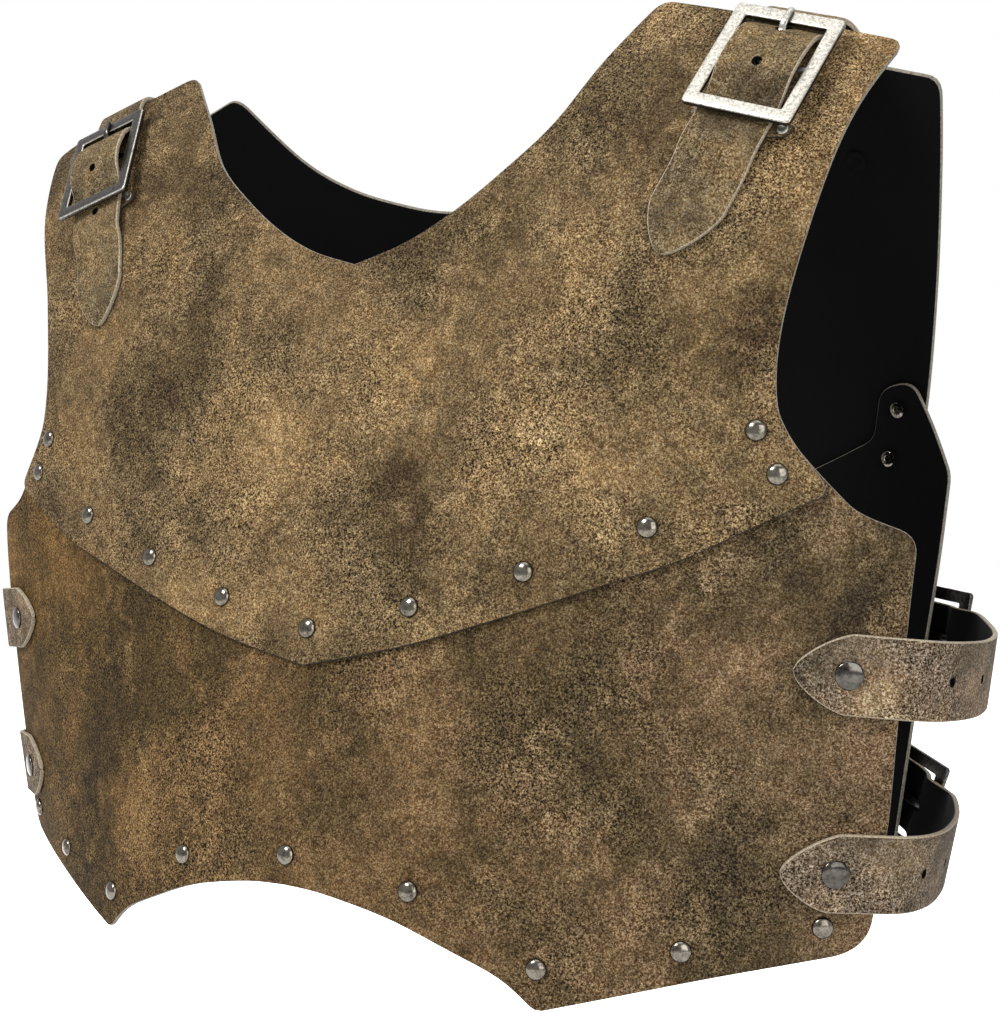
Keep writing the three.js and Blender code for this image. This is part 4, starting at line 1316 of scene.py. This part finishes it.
@dataclass(frozen=True)
class Buckle:
    """A cast centre-bar buckle with its tongue, and the folded leather chape that holds it."""

    wide: float = 45.0
    long: float = 52.0
    bar_wide: float = 5.6
    bar_thick: float = 2.4
    bevel: float = 0.5
    pin_radius: float = 1.2
    tongue_wide: float = 3.4
    tongue_thick: float = 1.8
    ring_radius: float = 2.5
    chape_wide: float = 25.0
    chape_thick: float = 1.0
    chape_reach: float = 34.0
    loop_radius: float = 1.65

    def frame_shell(self, seat: BuckleSeat) -> Shell:
        """The flat frame with bevelled edges, and the pin across its middle.

        Args:
            seat: the buckle's place.

        Returns:
            The closed surfaces of frame and pin.
        """
        b, w, t = self.bevel, self.bar_wide, self.bar_thick
        turn = np.radians((0.0, 30.0, 60.0, 90.0))
        quarter = np.stack([b - b * np.cos(turn), b * np.sin(turn)], axis=1)
        loop = np.concatenate([
            np.stack([quarter[:, 0], t - b + quarter[:, 1]], axis=1),
            np.stack([w - quarter[::-1, 0], t - b + quarter[::-1, 1]], axis=1),
            np.stack([w - quarter[:, 0], b - quarter[:, 1]], axis=1),
            np.stack([quarter[::-1, 0], b - quarter[::-1, 1]], axis=1)])
        # The top face takes the buckle's metal, the top bevels the lit silver, and the sides and underside the
        # darkened silver: a painted highlight on the rims of the darker buckles and painted shade round every frame's
        # sides.
        ring = swept_ring(loop, self.wide / 2 - w, self.long / 2 - w, 0.7,
                          (1, 1, 1, 0, 1, 1, 1, 2, 2, 2, 2, 2, 2, 2, 2, 2))
        reach = self.wide / 2 - w + 1.0
        u = np.linspace(-reach, reach, 12)
        path = np.stack([u, 0 * u, 0 * u + self.pin_radius], axis=1)
        thick = np.full(len(u), self.pin_radius * 2)
        pin = swept_bar(path, thick, thick, np.array((0.0, 1.0, 0.0)), power=2.0)
        whole = ring.joined(pin)
        whole.points = [seat.rigid(points) for points in whole.points]
        return whole

    def tongue_shell(self, seat: BuckleSeat) -> Shell:
        """The tongue: a ring round the pin, and an arm that climbs on to the frame's end bar.

        Args:
            seat: the buckle's place.

        Returns:
            The closed surfaces of ring and arm.
        """
        side = np.array((1.0, 0.0, 0.0))
        angle = np.linspace(math.radians(-8), math.radians(352), 40)
        middle = (self.ring_radius + self.pin_radius + 0.3) / 2
        ring = np.stack([0 * angle, middle * np.cos(angle), self.pin_radius + middle * np.sin(angle)], axis=1)
        wall = np.full(len(angle), self.ring_radius - self.pin_radius - 0.3)
        loop = swept_bar(ring, np.full(len(angle), self.tongue_wide), wall, side)
        knots = np.array([(1.9, 1.1), (6.0, 1.1), (11.0, 1.1), (14.6, 1.15), (16.6, 1.6), (18.3, 2.85),
                          (19.8, 3.5), (22.0, 3.5), (24.6, 3.35), (26.6, 3.1)])
        line = through(np.concatenate([knots, 0 * knots[:, :1]], axis=1), np.linspace(0, 1, 46))
        arm = np.stack([0 * line[:, 0], line[:, 0], line[:, 1]], axis=1)
        s = np.linspace(0, 1, 46)
        end = np.sqrt(np.clip(1 - ((s - 0.955) / 0.047).clip(0, 0.995) ** 2, 0, 1))
        wide = (self.tongue_wide - 0.9 * s) * end
        thick = (self.tongue_thick - 0.35 * s) * (0.45 + 0.55 * end)
        whole = loop.joined(swept_bar(arm, wide, thick, side))
        whole.points = [seat.rigid(points) for points in whole.points]
        return whole

    def chape(self, seat: BuckleSeat, flare: float) -> Ribbon:
        """The chape's ribbon: from its lower end up round the pin, and back down on itself.

        Args:
            seat: the buckle's place.
            flare: how much wider each side of the lower leaf is at its end.

        Returns:
            The ribbon, with a slot for the tongue.
        """
        middle = seat.height + self.pin_radius
        angle = np.radians(np.linspace(-120, 120, 9))
        loop = np.stack([self.loop_radius * np.cos(angle), middle + self.loop_radius * np.sin(angle)], axis=1)
        low = np.array([(-self.chape_reach, 1.4), (-28.0, 1.4), (-21.0, 1.4), (-14.0, 1.4), (-8.6, 1.5),
                        (-4.2, 2.3)])
        high = np.array([(-4.4, 5.4), (-8.2, 2.8), (-11.8, 1.7), (-16.0, 1.6), (-22.0, 1.6), (-28.0, 1.6),
                         (-self.chape_reach, 1.6)])
        line = np.concatenate([low, loop, high])
        edges = [seat.over(np.full(len(line), w), line[:, 0], line[:, 1])
                 for w in (-self.chape_wide / 2, 0.0, self.chape_wide / 2)]
        plain = Ribbon(*edges, self.chape_wide, self.chape_thick, -1.0)
        along = plain.run[np.argmin(abs(plain.t - (len(low) + 4) / (len(line) - 1)))]
        slot = Hole(float(along), 0.0, 6.2, 2.1, 3.6)
        return Ribbon(*edges, self.chape_wide, self.chape_thick, -1.0, holes=(slot,), rounding=0.3,
                      step=1.8, cells=10, flare=(flare, 14.0))


BUCKLE = Buckle()


@dataclass
class Fastening:
    """One strap with its buckle, tongue, chape and rivet, on one side of the wearer."""

    name: str
    side: Side
    seat: BuckleSeat
    ribbon: Ribbon
    rivet: Shell
    chape_flare: float
    chape_finish: str
    tab_rivets: bool
    # Whether buckle and tongue take the lit silver rather than the darkened silver with painted shade.
    bright: bool

    def placed(self, shell: Shell) -> Shell:
        """The shell as it is on the wearer's left, or its mirror image on the right."""
        return shell if self.side is Side.LEFT else shell.mirrored()

    def build(self, finishes: Finishes) -> None:
        """Makes the strap, the buckle, the tongue, the chape and the rivet.

        Args:
            finishes: the armour's materials.
        """
        end = self.side.name.lower()
        node = {part: f"{self.name}_{part}_{end}" for part in ("strap", "buckle", "tongue", "chape", "rivet")}
        # The near shoulder buckle is lit silver; the far one and the side buckles take the same silver darkened as
        # painted shade and reflection.
        metal = finishes.silver if self.bright else finishes.dark_silver
        leather = finishes.strap if self.tab_rivets else finishes.side_strap
        strap = make_piece(f"{node['strap']}_leather", self.placed(self.ribbon.shell()),
                           [leather, finishes.strap_edge, finishes.backing], [node["strap"]])
        make_piece(f"{node['buckle']}_frame", self.placed(BUCKLE.frame_shell(self.seat)),
                   [metal, finishes.silver, finishes.dark_silver], [node["buckle"]])
        make_piece(f"{node['tongue']}_pin", self.placed(BUCKLE.tongue_shell(self.seat)),
                   [metal], [node["tongue"]])
        fold = BUCKLE.chape(self.seat, self.chape_flare)
        # A side chape takes the black backing all over, painted shade where it sits in shadow by its buckle; a
        # shoulder chape is leather.
        outer = finishes.strap if self.chape_finish == "leather" else finishes.backing
        # A shoulder chape's edges are near black, partly painted shade under the strap and buckle.
        edge = finishes.dark_edge_and_shade if self.chape_finish == "leather" else finishes.backing
        under = finishes.strap if self.chape_finish == "leather" else finishes.backing
        chape = make_piece(f"{node['chape']}_fold", self.placed(fold.shell()),
                           [outer, edge, under], [node["chape"]])
        # The strap rivet's back takes the black backing as painted shade.
        make_piece(f"{node['rivet']}_stud", self.placed(self.rivet), [finishes.stud, finishes.backing],
                   [node["rivet"]])
        if self.tab_rivets:
            for i, across in enumerate((-1.0, 1.0)):
                spot = self.seat.over(across * (BUCKLE.chape_wide / 2 + self.chape_flare - 3.6), -24.6, 0.0)
                stud = TAB_RIVET.shell(self.seat.face, float(spot[0]), float(spot[2]),
                                       self.seat.skin_lift + 1.4, self.seat.skin_lift - PANEL_THICK)
                make_piece(f"{self.name}_tab_rivet_{i}_{end}", self.placed(stud), [finishes.silver])
        round(self.ribbon.area(), 6)
        round(fold.area(), 6)


@dataclass(frozen=True)
class ShoulderStrap:
    """A shoulder strap's run: riveted to the back, over the shoulder, down through its buckle."""

    side: Side
    across: tuple[float, float]
    x: float
    z: float
    along: tuple[float, float]
    lead: tuple[float, ...]
    air: tuple[tuple[float, float, float], ...]
    back: tuple[float, float]
    tail: float
    drift: float
    spare: tuple[tuple[float, float], ...]
    drop: float = 56.0
    rivet_drop: float = 38.0
    slant: float = 0.06

    def fastening(self) -> Fastening:
        """Works out the strap's stations and puts its buckle and rivet in place.

        Returns:
            The fastening, on the wearer's left and to be mirrored for the right.
        """
        seat = BuckleSeat(Face.FRONT, self.x, self.z, self.along, self.across, UPPER_LIFT)
        tail = np.arange(self.tail, 55, -9)
        down = np.array((0.0, 5.0, 16.0, 29.0, 43.0, self.drop))
        x_at, z_at = self.back[0] + down * self.slant, self.back[1] - down

        def line(w: float) -> Array:
            """The stations under one line of the strap, w from its middle."""
            drift = lambda d: self.drift * (np.maximum(d, 0) / self.tail) ** 1.4
            along, height = STRAP_OVER_BUCKLE.T
            lead = np.array(self.lead)
            air = np.array(self.air) + w * np.array((self.across[0], 0.0, self.across[1]))
            return np.concatenate([
                seat.over(w + drift(tail), -tail, STRAP_LIFT), seat.over(w + drift(-along), along, height),
                seat.over(w + 0 * lead, lead, STRAP_LIFT), air,
                FORM.point(Face.BACK, x_at + self.across[0] * w, z_at + self.across[1] * w,
                           UPPER_LIFT + STRAP_LIFT)])

        edges = [line(w) for w in (-STRAP_WIDE / 2, 0.0, STRAP_WIDE / 2)]
        plain = Ribbon(*edges, STRAP_WIDE, STRAP_THICK, 1.0)
        bar = plain.run[60 * (len(tail) + 9)] - 2.0
        slot = Hole(float(bar) + 18.3, 0.0, 4.6, 2.2)
        spare = tuple(Hole(float(bar) + v, u) for v, u in self.spare)
        ribbon = Ribbon(*edges, STRAP_WIDE, STRAP_THICK, 1.0, pointed=(True, True), holes=(slot, *spare))
        rx = self.back[0] + self.rivet_drop * self.slant
        rivet = STRAP_RIVET.shell(Face.BACK, rx, self.back[1] - self.rivet_drop,
                                  UPPER_LIFT + STRAP_LIFT + STRAP_THICK, UPPER_LIFT - PANEL_THICK)
        # Only the near shoulder's buckle, on the wearer's left, is lit silver; the far one is painted in shade.
        return Fastening("shoulder", self.side, seat, ribbon, rivet, 8.0, "leather", True,
                         self.side is Side.LEFT)


@dataclass(frozen=True)
class SideStrap:
    """A side strap's run: riveted to the front, round the wearer's side, through a back buckle."""

    name: str
    lean: float
    start: float
    rivet: float
    end: float
    z: float
    drop: float
    free: tuple[tuple[float, float, float], ...]
    buckle: tuple[float, float]
    along: tuple[float, float]
    spare: tuple[float, ...]
    tail: float = 74.0

    def fastening(self, side: Side) -> Fastening:
        """Works out the strap's stations and puts its buckle and rivet in place.

        Args:
            side: the wearer's side.

        Returns:
            The fastening, on the wearer's left and to be mirrored for the right.
        """
        across = np.array((self.lean, 1.0)) / math.hypot(self.lean, 1.0)
        seat = BuckleSeat(Face.BACK, *self.buckle, self.along, (0.0, 1.0), 0.0)
        front = self.start + (self.end - self.start) * np.array((0.0, 0.22, 0.44, 0.62, 0.81, 1.0))
        z_at = lambda x: self.z - self.drop * (x - self.start) / (self.end - self.start)
        tail = np.array((58.0, 66.0, self.tail))

        def line(w: float) -> Array:
            """The stations under one line of the strap, w from its middle."""
            along, height = STRAP_OVER_BUCKLE[::-1].T
            return np.concatenate([
                FORM.point(Face.FRONT, front + across[0] * w, z_at(front) + across[1] * w, STRAP_LIFT),
                np.array(self.free) + w * np.array((across[0], 0.0, across[1])),
                seat.over(np.array([w]), np.array([30.0]), STRAP_LIFT),
                seat.over(np.full(len(along), w), along, height),
                seat.over(np.full(len(tail), w), -tail, STRAP_LIFT)])

        edges = [line(w) for w in (-STRAP_WIDE / 2, 0.0, STRAP_WIDE / 2)]
        plain = Ribbon(*edges, STRAP_WIDE, STRAP_THICK, -1.0)
        bar = plain.run[60 * (len(front) + len(self.free) + 1 + 5)]
        slot = Hole(float(bar) - 16.6, 0.0, 4.6, 2.2)
        spare = tuple(Hole(s) for s in self.spare) + (Hole(float(bar) + 4.0), Hole(float(bar) + 34.0))
        ribbon = Ribbon(*edges, STRAP_WIDE, STRAP_THICK, -1.0, pointed=(True, True), holes=(slot, *spare))
        rivet = STRAP_RIVET.shell(Face.FRONT, self.rivet, float(z_at(self.rivet)),
                                  STRAP_LIFT + STRAP_THICK, -PANEL_THICK)
        # The side chapes are black backing all over: painted shade.
        return Fastening(self.name, side, seat, ribbon, rivet, 0.0, "dark_leather", False, False)


# ---- the armour's tables ------------------------------------------------------------------------

FRONT_UPPER = Pattern((
    Edge(6, ((0, -87.5), (23.5, -80), (45, -68.5), (67, -52.5), (86.5, -34.7), (103.3, -9.5), (122.7, 15.5))),
    Edge(6, ((122.7, 15.5), (220, -13.5))),
    Edge(6, ((220, -13.5), (207.5, -40.6), (194.7, -81.6), (186.4, -120), (185.3, -145.8), (190, -160.8),
             (205, -182))),
    Edge(0, ((205, -182), (179.2, -194.8), (153.5, -207.4), (125.1, -217.4), (86.6, -230.7),
             (45.1, -243.6), (0, -253.4)))), top=1, hem=1)
FRONT_LOWER = Pattern((
    Edge(5, ((0, -227), (46, -216.5), (93, -201.5), (140, -184), (166, -172))),
    Edge(7, ((166, -172), (172, -147))),
    Edge(3, ((172, -147), (182, -147))),
    Edge(7, ((182, -147), (191.2, -163.1), (207.2, -182.1), (215.9, -189.9), (233.5, -197.5))),
    Edge(12, ((233.5, -197.5), (226.7, -266.6), (222.1, -309), (215, -352))),
    Edge(3, ((215, -352), (164.4, -361.8), (107, -376))),
    Edge(0, ((107, -376), (94.1, -365), (75.5, -356.4), (48.7, -346.4), (19.7, -340.6), (0, -339.3)))),
    top=2, hem=2)
BACK_UPPER = Pattern((
    Edge(6, ((0, -46), (34.4, -44.7), (58.1, -39.7), (82.5, -30.9), (103.2, -16.1), (123.5, 12))),
    Edge(6, ((123.5, 12), (227, -22))),
    Edge(6, ((227, -22), (221.7, -49.2), (211.7, -90.1), (200.3, -139.7), (196.5, -160), (201, -178))),
    Edge(0, ((201, -178), (179, -187), (153.5, -197), (125.1, -206), (86.6, -219), (45.1, -232),
             (0, -242)))), top=1, hem=1)
BACK_LOWER = Pattern((
    Edge(5, ((0, -215), (46, -205), (93, -191), (139.7, -173.5), (172.6, -159.5))),
    Edge(7, ((172.6, -159.5), (178, -136))),
    Edge(7, ((178, -136), (194.5, -133.5))),
    Edge(4, ((194.5, -133.5), (203, -154), (211, -176))),
    Edge(12, ((211, -176), (202.7, -239.7), (196.2, -289.3), (189, -352))),
    Edge(3, ((189, -352), (150, -361), (107, -374))),
    Edge(0, ((107, -374), (94.1, -364), (75.5, -355.4), (48.7, -345.4), (19.7, -339.6), (0, -338.3)))),
    top=2, hem=2)

CHEST_RIVETS = RivetRow("chest_rivet", Face.FRONT, PANEL_RIVET, UPPER_LIFT, (
    (0, -238.6), (47, -228), (94.4, -212.8), (141.3, -195.2), (186.6, -175.4), (178.8, -159.4)))
HEM_RIVETS = RivetRow("hem_rivet", Face.FRONT, PANEL_RIVET, 0.0, (
    (0, -327.6), (56.6, -335.2), (106.8, -360), (156, -351.4), (201.3, -342.5)))
BLADE_RIVETS = RivetRow("blade_rivet", Face.BACK, BLADE_RIVET, UPPER_LIFT, ((186.8, -145.8), (181, -168.5)))
# The back's seam and hem are riveted as the front's are, out of sight from the front.
SEAM_RIVETS = RivetRow("seam_rivet", Face.BACK, PANEL_RIVET, UPPER_LIFT, (
    (0, -227.5), (47, -217.2), (94.4, -202.2), (141.3, -186)), in_cad=False)
TAIL_RIVETS = RivetRow("tail_rivet", Face.BACK, PANEL_RIVET, 0.0, (
    (0, -326.6), (56.6, -334.2), (106.8, -358.5), (147, -349.5), (178, -342)), in_cad=False)

SHOULDER_STRAPS = (
    ShoulderStrap(Side.LEFT, (0.956, -0.294), 172.2, -23.4, (0.294, 0.956), (),
                  ((180.3, -12.5, 1.8), (181.3, -3.0, 3.6), (182.2, 8.0, 2.0)), (183.0, -6.0), 87.0, -9.5,
                  ((-3.6, 0.0),)),
    ShoulderStrap(Side.RIGHT, (0.967, -0.254), 160.1, -30.0, (0.254, 0.967), (30.0, 36.0),
                  ((169.8, -13.5, 5.4), (170.6, -6.0, 6.2), (171.6, 6.0, 4.4)), (172.5, -2.5), 88.0, 4.0,
                  ((-5.0, 0.0), (-28.0, 0.0))),
)
SIDE_STRAPS = (
    SideStrap("side_upper", 0.13, 192.7, 211.0, 232.0, -246.2, 3.5,
              ((238.5, -25.5, -251.0), (243.0, -8.0, -252.5), (244.0, 16.0, -254.0), (241.0, 42.0, -254.0),
               (232.5, 68.0, -252.5)), (192.5, -247.5), (0.993, -0.12), (61.5, 92.0)),
    SideStrap("side_lower", 0.2, 187.8, 205.1, 223.5, -320.6, 2.0,
              ((228.5, -24.0, -323.5), (231.0, -8.0, -325.0), (230.0, 14.0, -326.5), (226.5, 38.0, -327.0),
               (219.5, 62.0, -326.0)), (183.0, -319.5), (0.945, -0.327), (57.5, 87.0)),
)


@dataclass
class Armour:
    """The whole armour: four panels, their rivets, two shoulder straps and four side straps."""

    finishes: Finishes

    def panels(self) -> None:
        """Makes the four panels."""
        pairs = (
            (Panel("front_upper", Face.FRONT, UPPER_LIFT, FRONT_UPPER, dents=CHEST_RIVETS.both_sides(),
                   hem_finish=3),
             self.finishes.upper, (0.464, 0.292)),
            (Panel("front_lower", Face.FRONT, 0.0, FRONT_LOWER, rows=104, dents=HEM_RIVETS.both_sides()),
             self.finishes.lower, (0.508, 0.245)),
            (Panel("back_upper", Face.BACK, UPPER_LIFT, BACK_UPPER,
                   dents=BLADE_RIVETS.both_sides() + SEAM_RIVETS.both_sides(), hem_finish=3),
             self.finishes.upper, (0.478, 0.322)),
            (Panel("back_lower", Face.BACK, 0.0, BACK_LOWER, rows=104, dents=TAIL_RIVETS.both_sides()),
             self.finishes.lower, (0.46, 0.25)))
        for panel, leather, flat in pairs:
            piece = make_piece(f"{panel.name}_leather", panel.shell(),
                               [leather, self.finishes.edge, self.finishes.backing,
                                self.finishes.dark_edge_and_shade][:panel.hem_finish + 1 if panel.hem_finish == 3 else 3],
                               [panel.name])
            round(panel.area(), 6)

    def rivets(self) -> None:
        """Makes every row of panel rivets."""
        for row in (CHEST_RIVETS, HEM_RIVETS, BLADE_RIVETS, SEAM_RIVETS, TAIL_RIVETS):
            row.build(self.finishes)

    def straps(self) -> None:
        """Makes the shoulder straps, then the side straps on both sides."""
        for shoulder in SHOULDER_STRAPS:
            shoulder.fastening().build(self.finishes)
        for strap in SIDE_STRAPS:
            for side in Side:
                strap.fastening(side).build(self.finishes)


# ---- studio -------------------------------------------------------------------------------------

@dataclass(frozen=True)
class Softbox:
    """A large soft lamp: where it stands, what it faces, its size in metres and its power."""

    name: str
    place: tuple[float, float, float]
    target: tuple[float, float, float]
    size: float
    watts: float
    colour: str = "#ffffff"

    def build(self) -> None:
        """Makes the lamp."""
        light = bpy.data.lights.new(self.name, "AREA")
        light.shape = "SQUARE"
        light.size = self.size
        light.energy = self.watts
        light.color = linear(self.colour)[:3]
        lamp = bpy.data.objects.new(self.name, light)
        lamp.location = self.place
        aim = Vector(self.target) - Vector(self.place)
        lamp.rotation_euler = aim.to_track_quat("-Z", "Y").to_euler()
        bpy.context.scene.collection.objects.link(lamp)


@dataclass(frozen=True)
class Studio:
    """A white room: an even sky, two softboxes, a pale floor and the camera."""

    floor_height: float = -0.62
    sky: float = 1.0
    camera_place: tuple[float, float, float] = (0.3797, -0.5917, -0.1721)
    camera_turn: tuple[float, float, float] = (88.5, 0.0, 30.0)
    focal_mm: float = 54.68
    shift: tuple[float, float] = (0.0, 0.0)

    def build(self) -> None:
        """Makes the sky, the floor, the lamps and the camera."""
        world = bpy.data.worlds.new("studio")
        world.use_nodes = True
        world.node_tree.nodes["Background"].inputs["Color"].default_value = linear("#ffffff")
        world.node_tree.nodes["Background"].inputs["Strength"].default_value = self.sky
        bpy.context.scene.world = world
        self.floor()
        Softbox("key", (-0.55, -1.5, 1.35), (0.0, 0.0, -0.15), 0.65, 95.0).build()
        Softbox("fill", (1.7, -1.1, 0.4), (0.1, 0.0, -0.2), 1.6, 42.0).build()
        Softbox("top", (0.2, -0.35, 1.9), (0.0, 0.0, -0.1), 1.5, 24.0).build()
        Softbox("back", (-0.7, 2.1, 0.9), (0.0, 0.0, -0.15), 1.3, 55.0).build()
        camera = bpy.data.objects.new("camera", bpy.data.cameras.new("camera"))
        camera.data.lens = self.focal_mm
        camera.data.sensor_width = 36.0
        camera.data.shift_x, camera.data.shift_y = self.shift
        camera.data.clip_start = 0.02
        camera.location = self.camera_place
        camera.rotation_euler = Euler([math.radians(a) for a in self.camera_turn])
        bpy.context.scene.collection.objects.link(camera)
        bpy.context.scene.camera = camera
        bpy.context.scene.view_settings.view_transform = "Standard"

    def floor(self) -> None:
        """Makes the floor: one matt white square, far below the hem."""
        half = 6.0
        mesh = bpy.data.meshes.new("floor")
        mesh.from_pydata([(-half, -half, self.floor_height), (half, -half, self.floor_height),
                          (half, half, self.floor_height), (-half, half, self.floor_height)], [], [(0, 1, 2, 3)])
        material = bpy.data.materials.new("floor_paper")
        material.use_nodes = True
        tree = material.node_tree
        shader = tree.nodes["Principled BSDF"]
        place = add_node(tree, "TexCoord").outputs["Object"]
        pulp = add_node(tree, "TexNoise", {"Scale": 3.0, "Detail": 2.0}, {"Vector": place}).outputs["Fac"]
        shade = fill_ramp(add_node(tree, "ValToRGB", {}, {"Fac": pulp}),
                          [(0.3, "#fbfbfb"), (0.7, "#fefefe")]).outputs[0]
        tree.links.new(shade, shader.inputs["Base Color"])
        shader.inputs["Roughness"].default_value = 0.9
        mesh.materials.append(material)
        floor = bpy.data.objects.new("floor", mesh)
        bpy.context.scene.collection.objects.link(floor)


def main() -> None:
    """Builds the studio and the armour."""
    logging.basicConfig(level=logging.INFO, format="%(message)s")
    Studio().build()
    armour = Armour(Finishes())
    armour.panels()
    armour.rivets()
    armour.straps()
    bpy.context.view_layer.update()


if __name__ == "__main__":
    main()
